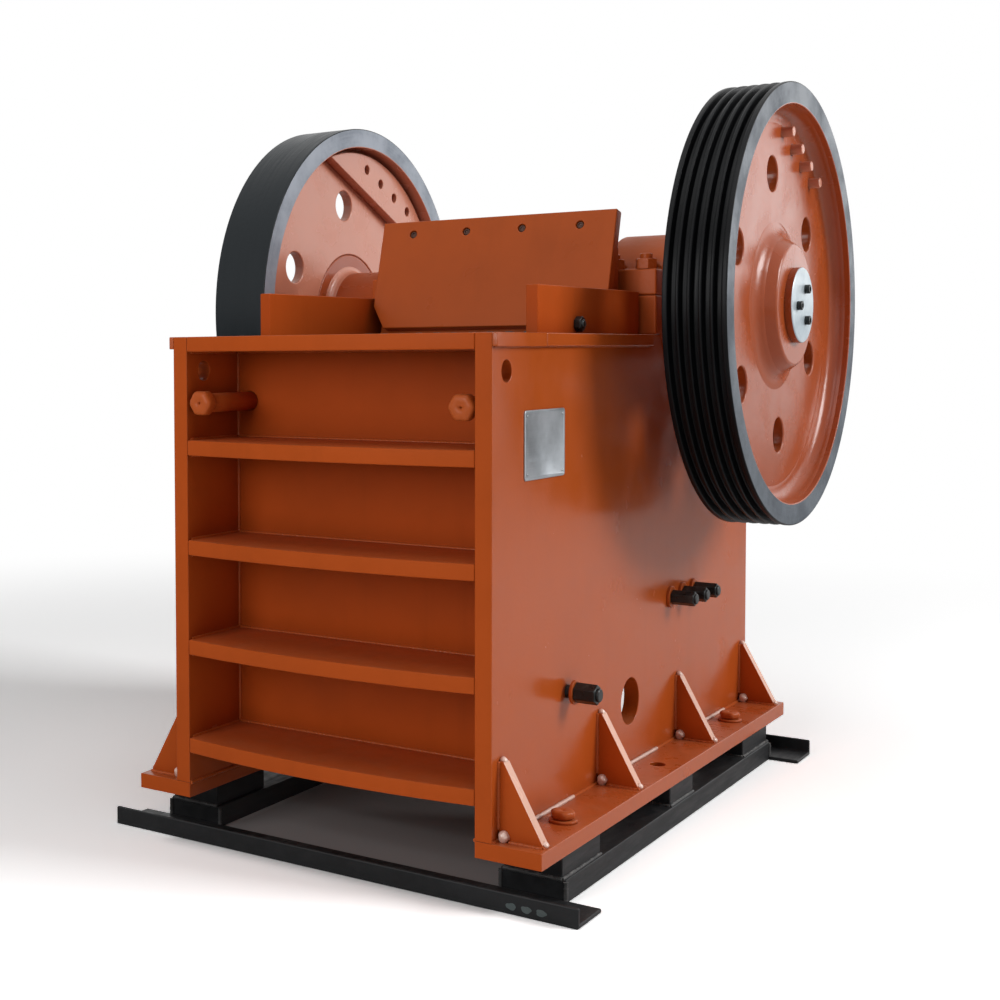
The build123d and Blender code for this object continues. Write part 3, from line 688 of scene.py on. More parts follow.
@dataclass(frozen=True)
class Finishes:
    """Every finish on the machine."""

    plate: Finish = Enamel("plate enamel", gloss_roughness=0.21, specular=0.36, tone=0.1)
    front: Finish = Enamel("front enamel", colour=(0.45, 0.076, 0.011), gloss_roughness=0.40, specular=0.06)
    guard: Finish = Enamel("guard enamel", gloss_roughness=0.32, specular=0.2)
    casting: Finish = Enamel("casting enamel", colour=(0.46, 0.09, 0.018), cast_depth=0.0009, tone=0.14)
    # A darker copy of the orange paint: painted shade on the pulley, the hubs, the rim insides and the end
    # plates' edges.
    wheel: Finish = Enamel(
        "wheel enamel",
        colour=(0.38, 0.07, 0.014),
        cast_depth=0.0002,
        gloss_roughness=0.24,
        specular=0.4,
        tone=0.08,
    )
    # A pale copy of the same paint: painted sheen on the flywheel and the counterweights.
    sheen_painted_wheel: Finish = Enamel(
        "pale wheel enamel",
        colour=(0.62, 0.24, 0.15),
        cast_depth=0.0002,
        gloss_roughness=0.24,
        specular=0.6,
        tone=0.08,
    )
    bolt: Finish = Enamel("bolt enamel", colour=(0.44, 0.085, 0.016), gloss_roughness=0.3, cast_depth=0.0008)
    bead: Finish = Enamel(
        "bead enamel", colour=(0.47, 0.092, 0.018), gloss_roughness=0.36, specular=0.2, dust=0.1
    )
    # Pale, glossy paint on weld drops and short beads: a painted highlight.
    splash: Finish = Enamel(
        "splash enamel", colour=(0.80, 0.52, 0.43), gloss_roughness=0.14, specular=0.8, dust=0.0, tone=0.3
    )
    # A pale copy of the plate paint: painted highlight on the gussets' sloping faces.
    edge: Finish = Enamel(
        "edge enamel", colour=(0.72, 0.40, 0.29), gloss_roughness=0.24, specular=0.5, dust=0.2, tone=0.25
    )
    pulley_rim: Finish = RimBlack("pulley rim black")
    flywheel_rim: Finish = RimBlack(
        "flywheel rim black", colour=(0.010, 0.014, 0.017), specular=0.2, wear=0.5
    )
    turned: Finish = TurnedSteel(
        "turned rim face",
        colour=(0.125, 0.145, 0.17),
        stained=(0.055, 0.065, 0.08),
        metallic=0.08,
        specular=0.16,
    )
    flywheel_face: Finish = TurnedSteel(
        "turned flywheel face", colour=(0.30, 0.34, 0.40), stained=(0.16, 0.19, 0.23), metallic=0.1
    )
    end_plate: Finish = TurnedSteel(
        "turned end plate", colour=(0.55, 0.62, 0.66), stained=(0.36, 0.43, 0.48), metallic=0.35
    )
    machined: Finish = MachinedSteel("machined steel")
    shaft: Finish = MachinedSteel("oiled shaft steel", colour=(0.38, 0.39, 0.40))
    wear_steel: Finish = CastSteel("cast wear steel")
    toggle: Finish = CastSteel("cast toggle steel", colour=(0.075, 0.07, 0.066))
    skid: Finish = SatinBlack("skid black")
    skid_weld: Finish = SatinBlack(
        "skid weld black", colour=(0.04, 0.04, 0.04), dust_colour=(0.30, 0.29, 0.28), dust=1.0
    )
    scuff: Finish = SatinBlack(
        "skid scuff", colour=(0.05, 0.062, 0.062), dust_colour=(0.21, 0.235, 0.23), dust=1.0
    )
    spring: Finish = BlackOxide("spring lacquer")
    fastener: Finish = BlackOxide("black oxide")
    screw: Finish = BlackOxide("painted screw", colour=(0.06, 0.018, 0.008), worn=(0.12, 0.035, 0.014))
    nameplate: Finish = BareAluminium("bare aluminium")


FINISHES = Finishes()


# Geometry Nodes trees


class Recipe(Tree):
    """A Geometry Nodes tree with named inputs, whose result is kept as a plain mesh."""

    def __init__(self, name: str, numbers: dict[str, float]) -> None:
        """Makes the tree's sockets.

        Args:
            name: the tree's name.
            numbers: the named sizes with their usual values.
        """
        self.tree = bpy.data.node_groups.new(name, "GeometryNodeTree")
        face = self.tree.interface
        face.new_socket(name="Places", in_out="INPUT", socket_type="NodeSocketGeometry")
        for label, usual in numbers.items():
            kind = "NodeSocketInt" if isinstance(usual, int) else "NodeSocketFloat"
            face.new_socket(name=label, in_out="INPUT", socket_type=kind).default_value = usual
        face.new_socket(name="Finish", in_out="INPUT", socket_type="NodeSocketMaterial")
        face.new_socket(name="Result", in_out="OUTPUT", socket_type="NodeSocketGeometry")
        self.given = self.add("NodeGroupInput").outputs

    def wire(self, node: bpy.types.Node, **inputs: object) -> bpy.types.Node:
        """Feeds several inputs of a node.

        Args:
            node: the node.
            **inputs: values of its inputs by name, with underscores for spaces.

        Returns:
            The same node.
        """
        for name, value in inputs.items():
            self.feed(node.inputs[name.replace("_", " ")], value)
        return node

    def end(self, geometry: Socket) -> None:
        """Realizes, smooths and paints the geometry, and puts it out.

        Args:
            geometry: the tree's geometry.
        """
        real = self.wire(self.add("GeometryNodeRealizeInstances"), Geometry=geometry)
        smooth = self.wire(self.add("GeometryNodeSetShadeSmooth"), Geometry=real.outputs[0])
        painted = self.add("GeometryNodeSetMaterial")
        self.wire(painted, Geometry=smooth.outputs[0], Material=self.given["Finish"])
        output = self.add("NodeGroupOutput")
        self.tree.links.new(painted.outputs[0], output.inputs["Result"])

    def facing(self) -> Socket:
        """The rotation that turns +Z to each place's own direction.

        Returns:
            The rotation.
        """
        way = self.add("GeometryNodeInputNamedAttribute", data_type="FLOAT_VECTOR")
        way.inputs["Name"].default_value = "facing"
        align = self.add("FunctionNodeAlignRotationToVector", axis="Z")
        return self.wire(align, Vector=way.outputs["Attribute"]).outputs["Rotation"]

    def sweep(self, path: Socket, profile: Socket, scale: Optional[Socket] = None) -> Socket:
        """A profile swept along a path, closed at the ends, as thick as scale says at each point.

        Args:
            path: the path.
            profile: the profile.
            scale: the profile's size along the path.

        Returns:
            The mesh.
        """
        node = self.add("GeometryNodeCurveToMesh")
        self.wire(node, Curve=path, Profile_Curve=profile, Fill_Caps=True)
        if scale is not None and "Scale" in node.inputs:
            self.tree.links.new(scale, node.inputs["Scale"])
        return node.outputs["Mesh"]

    def make(self, places: bpy.types.Mesh, finish: Finish, **sizes: object) -> bpy.types.Mesh:
        """Runs the tree on a mesh of places.

        Args:
            places: the points or lines that the tree works on; it is used up.
            finish: the finish of the result.
            **sizes: values of the named inputs, with underscores for spaces.

        Returns:
            The result as a plain mesh.
        """
        holder = bpy.data.objects.new(self.tree.name, places)
        bpy.context.scene.collection.objects.link(holder)
        modifier = holder.modifiers.new(self.tree.name, "NODES")
        modifier.node_group = self.tree
        values = {name.replace("_", " "): value for name, value in sizes.items()}
        values["Finish"] = finish.material()
        for item in self.tree.interface.items_tree:
            if item.item_type == "SOCKET" and item.in_out == "INPUT" and item.name in values:
                modifier[item.identifier] = values[item.name]
        graph = bpy.context.evaluated_depsgraph_get()
        result = bpy.data.meshes.new_from_object(holder.evaluated_get(graph), depsgraph=graph)
        holder.modifiers.remove(modifier)
        bpy.data.objects.remove(holder)
        bpy.data.meshes.remove(places)
        return result


class WeldBead(Recipe):
    """A rippled bead of weld along lines."""

    stray: Flat = (0.86, 1.14)
    facets: int = 8

    def __init__(self) -> None:
        """Builds the tree."""
        super().__init__("weld bead", {"Radius": 0.005, "Ripple": 0.0045, "Depth": 0.14, "Seed": 7})
        line = self.wire(self.add("GeometryNodeMeshToCurve"), Mesh=self.given["Places"])
        step = self.maths("MULTIPLY", self.given["Ripple"], 0.5)
        fine = self.add("GeometryNodeResampleCurve", mode="LENGTH")
        self.wire(fine, Curve=line.outputs[0], Length=step)
        run = self.add("GeometryNodeSplineParameter").outputs["Length"]
        turn = self.maths("MULTIPLY", self.maths("DIVIDE", run, self.given["Ripple"]), 2 * math.pi)
        wave = self.maths("MULTIPLY", self.maths("SINE", turn), self.given["Depth"])
        stray = self.add("FunctionNodeRandomValue", data_type="FLOAT")
        for socket in stray.inputs:
            if socket.type == "VALUE" and socket.name in ("Min", "Max"):
                socket.default_value = self.stray[socket.name == "Max"]
        self.wire(stray, Seed=self.given["Seed"])
        lump = [socket for socket in stray.outputs if socket.type == "VALUE"][0]
        share = self.maths("MULTIPLY", self.maths("ADD", wave, 1.0), lump)
        size = self.maths("MULTIPLY", share, self.given["Radius"])
        thick = self.wire(self.add("GeometryNodeSetCurveRadius"), Curve=fine.outputs[0], Radius=size)
        ring = self.add("GeometryNodeCurvePrimitiveCircle")
        self.wire(ring, Resolution=self.facets, Radius=1.0)
        self.end(self.sweep(thick.outputs[0], ring.outputs["Curve"], size))


class ThreadRidge(Recipe):
    """The helical ridge of a screw thread, standing at each place."""

    turn_steps: int = 20
    facets: int = 4

    def __init__(self) -> None:
        """Builds the tree."""
        super().__init__("thread ridge", {"Radius": 0.015, "Pitch": 0.0035, "Length": 0.03, "Ridge": 0.0012})
        turns = self.maths("DIVIDE", self.given["Length"], self.given["Pitch"])
        helix = self.add("GeometryNodeCurveSpiral")
        self.wire(helix, Resolution=self.turn_steps, Rotations=turns, Height=self.given["Length"])
        self.wire(helix, Start_Radius=self.given["Radius"], End_Radius=self.given["Radius"])
        ridge = self.add("GeometryNodeCurvePrimitiveCircle")
        self.wire(ridge, Resolution=self.facets, Radius=self.given["Ridge"])
        coil = self.sweep(helix.outputs["Curve"], ridge.outputs["Curve"])
        spread = self.add("GeometryNodeInstanceOnPoints")
        self.wire(spread, Points=self.given["Places"], Instance=coil, Rotation=self.facing())
        self.end(spread.outputs[0])


class FittingSpread(Recipe):
    """One fitting's mesh, standing at each place."""

    def __init__(self, name: str, fitting: bpy.types.Mesh) -> None:
        """Builds the tree round a fitting that stands on the origin along +Z.

        Args:
            name: what the fitting is.
            fitting: its mesh.
        """
        super().__init__(name, {"Scale": 1.0})
        self.sample = bpy.data.objects.new(name + " sample", fitting)
        source = self.add("GeometryNodeObjectInfo")
        source.inputs["Object"].default_value = self.sample
        spread = self.add("GeometryNodeInstanceOnPoints")
        self.wire(spread, Points=self.given["Places"], Instance=source.outputs["Geometry"])
        self.wire(spread, Rotation=self.facing(), Scale=self.given["Scale"])
        self.end(spread.outputs[0])

    def make(self, places: bpy.types.Mesh, finish: Finish, **sizes: object) -> bpy.types.Mesh:
        """Spreads the fitting over the places, then puts its sample away.

        Args:
            places: the points; they are used up.
            finish: the finish of the result.
            **sizes: values of the named inputs.

        Returns:
            The result as a plain mesh.
        """
        result = super().make(places, finish, **sizes)
        bpy.data.objects.remove(self.sample)
        return result


@dataclass(frozen=True)
class Place:
    """Where a fitting stands, and the way it points."""

    point: Point
    facing: Point


def place_mesh(places: Sequence[Place]) -> bpy.types.Mesh:
    """Points for a tree, with the direction of each.

    Args:
        places: the places.

    Returns:
        A mesh of loose points with the attribute "facing".
    """
    mesh = bpy.data.meshes.new("places")
    mesh.from_pydata([place.point for place in places], [], [])
    attribute = mesh.attributes.new("facing", "FLOAT_VECTOR", "POINT")
    attribute.data.foreach_set("vector", [part for place in places for part in place.facing])
    return mesh


def seam_mesh(seams: Seams) -> bpy.types.Mesh:
    """Lines for a tree.

    Args:
        seams: each seam as its corners in order.

    Returns:
        A mesh of edges.
    """
    points: list[Point] = []
    edges: list[tuple[int, int]] = []
    for seam in seams:
        start = len(points)
        points.extend(seam)
        edges.extend((start + i, start + i + 1) for i in range(len(seam) - 1))
    mesh = bpy.data.meshes.new("seams")
    mesh.from_pydata(points, edges, [])
    return mesh


# Mesh code


def finished(shape: bmesh.types.BMesh, name: str) -> bpy.types.Mesh:
    """Closes a bmesh into a smooth mesh with outward normals.

    Args:
        shape: the shape; it is freed.
        name: the mesh's name.

    Returns:
        The mesh.
    """
    bmesh.ops.remove_doubles(shape, verts=shape.verts, dist=MERGE_DISTANCE)
    bmesh.ops.recalc_face_normals(shape, faces=shape.faces)
    for face in shape.faces:
        face.smooth = True
    mesh = bpy.data.meshes.new(name)
    shape.to_mesh(mesh)
    shape.free()
    return mesh


def skin(shape: bmesh.types.BMesh, rings: list[list[bmesh.types.BMVert]], closed: bool) -> None:
    """Joins rings of points by faces.

    Args:
        shape: the shape that holds the points.
        rings: the rings in order, each with as many points.
        closed: whether the last ring joins the first; if not, both end rings are filled.
    """
    last = rings[:1] if closed else []
    for lower, upper in zip(rings, rings[1:] + last):
        for i in range(len(lower)):
            k = (i + 1) % len(lower)
            shape.faces.new((lower[i], lower[k], upper[k], upper[i]))
    if not closed:
        shape.faces.new(list(reversed(rings[0])))
        shape.faces.new(rings[-1])


def turned(profile: Sequence[Flat], steps: int, name: str, swell: Optional[Swell] = None) -> bpy.types.Mesh:
    """A closed outline turned about +Z.

    Args:
        profile: (radius, height) corners in order; a radius of 0 lies on the axis.
        steps: facets round the axis.
        name: the mesh's name.
        swell: the share of the radius at an angle and a height, if it isn't round.

    Returns:
        The turned mesh.
    """
    shape = bmesh.new()
    rings = []
    for radius, height in profile:
        ring = []
        for i in range(steps):
            angle = 2 * math.pi * i / steps
            reach = radius * swell(angle, height) if swell else radius
            ring.append(shape.verts.new((reach * math.cos(angle), reach * math.sin(angle), height)))
        rings.append(ring)
    skin(shape, rings, True)
    bmesh.ops.remove_doubles(shape, verts=shape.verts, dist=MERGE_DISTANCE)
    bmesh.ops.dissolve_degenerate(shape, edges=shape.edges, dist=MERGE_DISTANCE)
    return finished(shape, name)


def about_shaft(mesh: bpy.types.Mesh, side: Side) -> bpy.types.Mesh:
    """Moves a mesh turned about +Z onto the shaft, with its height along the side's X.

    Args:
        mesh: the mesh.
        side: the machine's side.

    Returns:
        The same mesh.
    """
    turn = Matrix.Rotation(side.value * math.pi / 2, 4, "Y")
    mesh.transform(Matrix.Translation((0.0, LAYOUT.shaft_y, LAYOUT.shaft_z)) @ turn)
    return mesh


def soft_corner(start: Flat, corner: Flat, end: Flat, steps: int = 7) -> list[Flat]:
    """A rounded corner of a profile, from start to end and pulled towards the corner.

    Args:
        start: where the rounding begins.
        corner: the sharp corner.
        end: where the rounding ends.
        steps: how many points it has.

    Returns:
        The points, start and end among them.
    """
    points = []
    for i in range(steps):
        t = i / (steps - 1)
        parts = zip(start, corner, end)
        points.append(tuple((1 - t) ** 2 * a + 2 * t * (1 - t) * b + t * t * c for a, b, c in parts))
    return points


def rounded(corners: Sequence[Flat], reach: float, steps: int = 4) -> list[Flat]:
    """A closed outline with every corner rounded off.

    Args:
        corners: the outline's (radius, height) corners in order.
        reach: how far from a corner its rounding begins.
        steps: points to a corner.

    Returns:
        The rounded outline.
    """
    most = 0.45
    points = []
    for i, corner in enumerate(corners):
        here = Vector(corner)
        before, after = (Vector(corners[k]) - here for k in (i - 1, (i + 1) % len(corners)))
        start = here + before.normalized() * min(reach, before.length * most)
        end = here + after.normalized() * min(reach, after.length * most)
        points += soft_corner(tuple(start), corner, tuple(end), steps)
    return points


def across_flats(angle: float) -> float:
    """How far a hexagon of apothem 1 reaches at an angle."""
    return 1 / math.cos(angle % (math.pi / 3) - math.pi / 6)


def chamfered_hexagon(radius: float, height: float, steps: int = 8) -> bpy.types.Mesh:
    """A hexagon nut or bolt head on the origin along +Z, its corners turned down by a cone.

    Args:
        radius: to the corners.
        height: of the nut.
        steps: points along each flat.

    Returns:
        The mesh.
    """
    apothem = radius * math.cos(math.pi / 6)
    crown_share = 0.94
    crown = apothem * crown_share
    fall = math.tan(math.radians(28))
    shape = bmesh.new()
    base, edge, top = [], [], []
    for i in range(6 * steps):
        angle = math.pi / 3 * i / steps
        reach = apothem * across_flats(angle)
        x, y = math.cos(angle), math.sin(angle)
        base.append(shape.verts.new((reach * x, reach * y, 0.0)))
        edge.append(shape.verts.new((reach * x, reach * y, height - (reach - crown) * fall)))
        top.append(shape.verts.new((crown * x, crown * y, height)))
    skin(shape, [base, edge, top], False)
    return finished(shape, "hexagon")


def socket_head(radius: float, height: float, socket: float) -> bpy.types.Mesh:
    """A socket screw's head on the origin along +Z, with a six-sided socket.

    Args:
        radius: of the head.
        height: of the head.
        socket: radius of the socket's corners.

    Returns:
        The mesh.
    """
    round_off = radius * 0.12
    socket_floor, socket_tip = height * 0.45, height * 0.35
    levels = [
        (radius, 0.0, False),
        (radius, height - round_off, False),
        (radius - round_off, height, False),
        (socket, height, True),
        (socket, socket_floor, True),
        (socket * 0.3, socket_tip, True),
    ]
    shape = bmesh.new()
    steps = 24
    rings = []
    for reach, level, six in levels:
        ring = []
        for i in range(steps):
            angle = 2 * math.pi * i / steps
            out = reach * math.cos(math.pi / 6) * across_flats(angle) if six else reach
            ring.append(shape.verts.new((out * math.cos(angle), out * math.sin(angle), level)))
        rings.append(ring)
    skin(shape, rings, False)
    return finished(shape, "socket head")


def rod(radius: float, length: float, chamfer: float) -> bpy.types.Mesh:
    """A round bar on the origin along +Z with a chamfered end.

    Args:
        radius: of the bar.
        length: of the bar.
        chamfer: of its upper end.

    Returns:
        The mesh.
    """
    steps = 32
    end = [(radius, length - chamfer), (radius - chamfer, length), (0.0, length)]
    return turned([(0.0, 0.0), (radius, 0.0), *end], steps, "rod")


def dome(radius: float, height: float) -> bpy.types.Mesh:
    """A low domed head on the origin along +Z.

    Args:
        radius: of the head.
        height: of the head.

    Returns:
        The mesh.
    """
    arc_steps, steps = 6, 20
    angles = [math.pi / 2 * i / arc_steps for i in range(arc_steps + 1)]
    arc = [(radius * math.cos(angle), height * math.sin(angle)) for angle in angles]
    return turned([(0.0, 0.0), *arc], steps, "dome")


def weld_drop(radius: float) -> bpy.types.Mesh:
    """A lumpy drop of weld round the origin.

    Args:
        radius: of the drop.

    Returns:
        The mesh.
    """
    broad, fine = 0.10, 0.07
    shape = bmesh.new()
    bmesh.ops.create_icosphere(shape, subdivisions=3, radius=radius)
    for vertex in shape.verts:
        x, y, z = vertex.co / radius
        lump = broad * math.sin(3.1 * x + 1.3) * math.cos(2.6 * y) + fine * math.sin(4.3 * z + 2 * x)
        vertex.co = vertex.co * (1 + lump)
    return finished(shape, "weld drop")


def lumpy_head(radius: float, height: float) -> bpy.types.Mesh:
    """A bolt head on the origin along +Z, its corners drowned in paint.

    Args:
        radius: of the head.
        height: of the head.

    Returns:
        The mesh.
    """
    corner_share, flat_depth, lump_depth, steps = 0.42, 0.075, 0.02, 48

    def swell(angle: float, level: float) -> float:
        """How far the head reaches: six soft flats, with a slow lump round it."""
        flat = flat_depth * (0.5 - 0.5 * math.cos(6 * angle))
        return 1 - flat + lump_depth * math.sin(angle * 2 + level * 90)

    corners = [(0.0, 0.0), (radius, 0.0), (radius, height), (0.0, height)]
    return turned(rounded(corners, radius * corner_share, 7), steps, "lumpy head", swell)


def cad_copy(node: str) -> bpy.types.Mesh:
    """A merged copy of a CAD node's mesh, with its flat faces made whole.

    Args:
        node: the node's name.

    Returns:
        The copy.
    """
    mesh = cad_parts[node].data.copy()
    mesh.materials.clear()
    for name in ("custom_normal", "sharp_edge", "sharp_face"):
        carried = mesh.attributes.get(name)
        if carried is not None:
            mesh.attributes.remove(carried)
    shape = bmesh.new()
    shape.from_mesh(mesh)
    bmesh.ops.remove_doubles(shape, verts=shape.verts, dist=MERGE_DISTANCE)
    bmesh.ops.dissolve_limit(shape, angle_limit=FLAT_ANGLE, verts=shape.verts, edges=shape.edges)
    for face in shape.faces:
        face.smooth = True
        face.material_index = 0
    shape.to_mesh(mesh)
    shape.free()
    return mesh


# Pieces


@dataclass
class Workshop:
    """Finishes pieces and hangs them on the bodies they ride on."""

    pieces: list[str] = field(default_factory=list)

    def fit(
        self,
        name: str,
        mesh: bpy.types.Mesh,
        body: Body,
        slot: str,
        finishes: Sequence[Finish],
        replaces: Sequence[str] = (),
    ) -> bpy.types.Object:
        """Makes a piece of the machine from a mesh.

        Args:
            name: the piece's name.
            mesh: its mesh, in place.
            body: the body it rides on.
            slot: the record's material slot; not used.
            finishes: its finishes, in the order of the mesh's material numbers.
            replaces: CAD nodes that it stands for.

        Returns:
            The piece.
        """
        piece = bpy.data.objects.new(name, mesh)
        numbers = [face.material_index for face in mesh.polygons]
        mesh.materials.clear()
        for finish in finishes:
            mesh.materials.append(finish.material())
        if len(finishes) > 1:
            mesh.polygons.foreach_set("material_index", numbers)
        bpy.context.scene.collection.objects.link(piece)
        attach(piece, body.value)
        if replaces:
            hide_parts(*replaces)
        self.pieces.append(name)
        log.info("%s rides on %s", name, body.value)
        return piece

    def spread(
        self,
        name: str,
        fitting: bpy.types.Mesh,
        places: Sequence[Place],
        slot: str,
        finish: Finish,
        soft: float = 0.0,
        replaces: Sequence[str] = (),
        body: Body = Body.FRAME,
    ) -> None:
        """Makes a piece of one fitting that stands at several places.

        Args:
            name: the piece's name.
            fitting: the fitting's mesh, on the origin along +Z.
            places: where it stands.
            slot: the record's material slot.
            finish: its finish.
            soft: how wide its sharp edges are rounded; 0 leaves them as they are.
            replaces: CAD nodes that the piece stands for.
            body: the body it rides on.
        """
        mesh = FittingSpread(name + " fitting", fitting).make(place_mesh(places), finish)
        piece = self.fit(name, mesh, body, slot, [finish], replaces)
        if soft:
            self.soften(piece, soft)

    def soften(self, piece: bpy.types.Object, width: float) -> bpy.types.Object:
        """Rounds a piece's sharp edges.

        Args:
            piece: the piece.
            width: how wide the rounding is.

        Returns:
            The same piece.
        """
        bevel = piece.modifiers.new("rounded edges", "BEVEL")
        bevel.width = width
        bevel.segments = 2
        bevel.limit_method = "ANGLE"
        bevel.angle_limit = SHARP_ANGLE
        bevel.use_clamp_overlap = False
        return self.flatten(piece)

    def flatten(self, piece: bpy.types.Object) -> bpy.types.Object:
        """Keeps a smooth piece's large faces flat in their shading.

        Args:
            piece: the piece.

        Returns:
            The same piece.
        """
        weighted = piece.modifiers.new("flat faces", "WEIGHTED_NORMAL")
        weighted.weight = 75
        return piece


@dataclass(frozen=True)
class SoftNode:
    """A CAD node that shows as a copy with rounded edges."""

    node: str
    body: Body
    slot: str
    finish: Finish
    width: float = 0.002

    def build(self, shop: Workshop) -> bpy.types.Object:
        """Makes the copy stand for its node.

        Args:
            shop: the workshop.

        Returns:
            The copy.
        """
        name, mesh = self.node + "_shaped", cad_copy(self.node)
        piece = shop.fit(name, mesh, self.body, self.slot, [self.finish], [self.node])
        return shop.soften(piece, self.width)


def mirrored(seams: Seams) -> Seams:
    """Seams of the right side, with their mirror images on the left."""
    return [[(sign * x, y, z) for x, y, z in seam] for seam in seams for sign in (-1, 1)]


@dataclass
class SubAssembly:
    """A part of the machine; a subclass holds its sizes and builds its pieces."""

    shop: Workshop

    def build(self) -> None:
        """Builds the pieces."""
        raise NotImplementedError


@dataclass
class FrameBox(SubAssembly):
    """The welded box: side plates, front and rear walls, ribs, flanges and gussets."""

    rib_tops: tuple[float, ...] = (0.927, 0.698, 0.468, 0.240)
    rib_thickness: float = 0.035
    top_plate: float = 0.034
    rib_setback: float = 0.012
    gusset_starts: tuple[float, ...] = (-0.856, -0.348, 0.160, 0.668)
    gusset_thickness: float = 0.026
    gusset_height: float = 0.162
    gusset_reach: float = 0.096
    gusset_scallop: float = 0.020
    soft: float = 0.002
    soft_rib: float = 0.003
    soft_rim: float = 0.0025
    rear_wall: float = 0.606
    rear_wall_bottom: float = 0.503
    rear_rib_count: int = 2
    rear_setback: float = 0.006
    tie_y: float = 0.694
    tie_z: Flat = (0.205, 0.400)
    beam_ys: Flat = (0.114, 0.304)
    beam_z: Flat = (0.404, 0.578)
    bead: float = 0.0045
    rim_bead_share: float = 0.6
    bead_end: float = 0.004
    rim_bead_start: float = 0.010
    # How far the painted-highlight beads stand off the plate and flange.
    highlight_lift: float = 0.003
    corner_drop: float = 0.0125
    corner_drop_place: Flat = (0.014, 0.011)
    corner_drop_proud: float = 0.002
    tip_drop: float = 0.0080
    tip_drop_out: float = 0.006
    toe_drop_up: float = 0.005
    # The next two fields place the short beads that carry a painted highlight behind the gussets.
    highlight_gap: float = 0.012
    highlight_length: float = 0.330
    rim_bottom: float = 1.135
    rim_outer: float = 0.412
    rim_end: float = -0.033
    rim_gap: float = 0.0012

    def build(self) -> None:
        """Builds the box and its welds."""
        frame_paint = "frame_paint"
        sides = [f"{kind}_{side.name.lower()}" for side in Side for kind in ("side_plate", "base_flange")]
        for node in sides:
            mesh = cad_copy(node)
            for face in mesh.polygons:
                face.material_index = int(face.normal[1] < -0.7)
            finishes = [FINISHES.plate, FINISHES.front]
            piece = self.shop.fit(node + "_shaped", mesh, Body.FRAME, frame_paint, finishes, [node])
            self.shop.soften(piece, self.soft)
        self.build_gussets()
        walls = ("front_wall", "rear_wall", "rear_ribs", "rear_tie_plate", "toggle_beam")
        for node in walls:
            SoftNode(node, Body.FRAME, frame_paint, FINISHES.front).build(self.shop)
        SoftNode("front_ribs", Body.FRAME, frame_paint, FINISHES.front, self.soft_rib).build(self.shop)
        self.build_rims()
        self.build_welds()

    def build_gussets(self) -> None:
        """Builds the gussets, with a painted highlight along their sloping edges and duller ends."""
        for side in Side:
            node = f"gussets_{side.name.lower()}"
            mesh = cad_copy(node)
            for face in mesh.polygons:
                # The sloping faces, turned up towards the light, take the pale edge paint: a painted
                # highlight.
                sloping = face.normal[0] * side.value > 0.3 and face.normal[2] > 0.2
                face.material_index = 1 if sloping else 2 if abs(face.normal[1]) > 0.7 else 0
            finishes = [FINISHES.plate, FINISHES.edge, FINISHES.front]
            piece = self.shop.fit(node + "_shaped", mesh, Body.FRAME, "frame_paint", finishes, [node])
            self.shop.soften(piece, self.soft)

    def build_rims(self) -> None:
        """Builds the strips along the side plates' upper edges, in two lengths a side."""
        shape = bmesh.new()
        joint, half_gap = LAYOUT.wall_back, self.rim_gap / 2
        for side in Side:
            inner, outer = side.value * LAYOUT.half_width, side.value * self.rim_outer
            for y0, y1 in ((LAYOUT.front, joint - half_gap), (joint + half_gap, self.rim_end)):
                corners = [
                    shape.verts.new((x, y, z))
                    for x in (inner, outer)
                    for y in (y0, y1)
                    for z in (self.rim_bottom, LAYOUT.top)
                ]
                bmesh.ops.convex_hull(shape, input=corners)
        mesh = finished(shape, "top rims")
        plate = FINISHES.plate
        piece = self.shop.fit("top_rims_shaped", mesh, Body.FRAME, "frame_paint", [plate], ["top_rims"])
        self.shop.soften(piece, self.soft_rim)

    def recess_seams(self, levels: list[float], edge: float, wall: float) -> Seams:
        """The seams of an open recess between the side plates.

        Args:
            levels: the faces of its plates from the top down, an underside first.
            edge: the y where the seams end at the open side.
            wall: the y of the recess's wall.

        Returns:
            The seams round the plates, then those up the wall's two sides.
        """
        x = LAYOUT.inner_half
        seams = [[(-x, edge, z), (-x, wall, z), (x, wall, z), (x, edge, z)] for z in levels]
        for lower, upper in zip(levels[1::2], levels[0::2]):
            seams += [[(sign * x, wall, lower), (sign * x, wall, upper)] for sign in (-1, 1)]
        return seams

    def rib_levels(self, tops: Iterable[float]) -> list[float]:
        """The upper and lower faces of ribs, from the top down."""
        return [level for top in tops for level in (top, top - self.rib_thickness)]

    def front_seams(self) -> Seams:
        """The seams of the front recess: ribs to wall, ribs to side plates, wall to side plates."""
        levels = [LAYOUT.top - self.top_plate, *self.rib_levels(self.rib_tops)]
        return self.recess_seams(levels, LAYOUT.front + self.rib_setback, LAYOUT.wall_front)

    def gusset_seams(self) -> Seams:
        """The seams of the right side's gussets, and of its side plate on its flange.

        Returns:
            The seams.
        """
        x, z, end = LAYOUT.half_width, LAYOUT.plate_bottom, self.bead_end
        toe, low = x + self.gusset_reach, self.gusset_scallop + end
        front, rear = LAYOUT.front + end, LAYOUT.rear - end
        seams = [[(face, front, z), (face, rear, z)] for face in (x, LAYOUT.inner_half)]
        for start in self.gusset_starts:
            stop = start + self.gusset_thickness
            for y in (start, stop):
                seams.append([(x, y, z + low), (x, y, z + self.gusset_height)])
                seams.append([(x + low, y, z), (toe, y, z)])
            seams.append([(toe, start, z), (toe, stop, z)])
        return seams

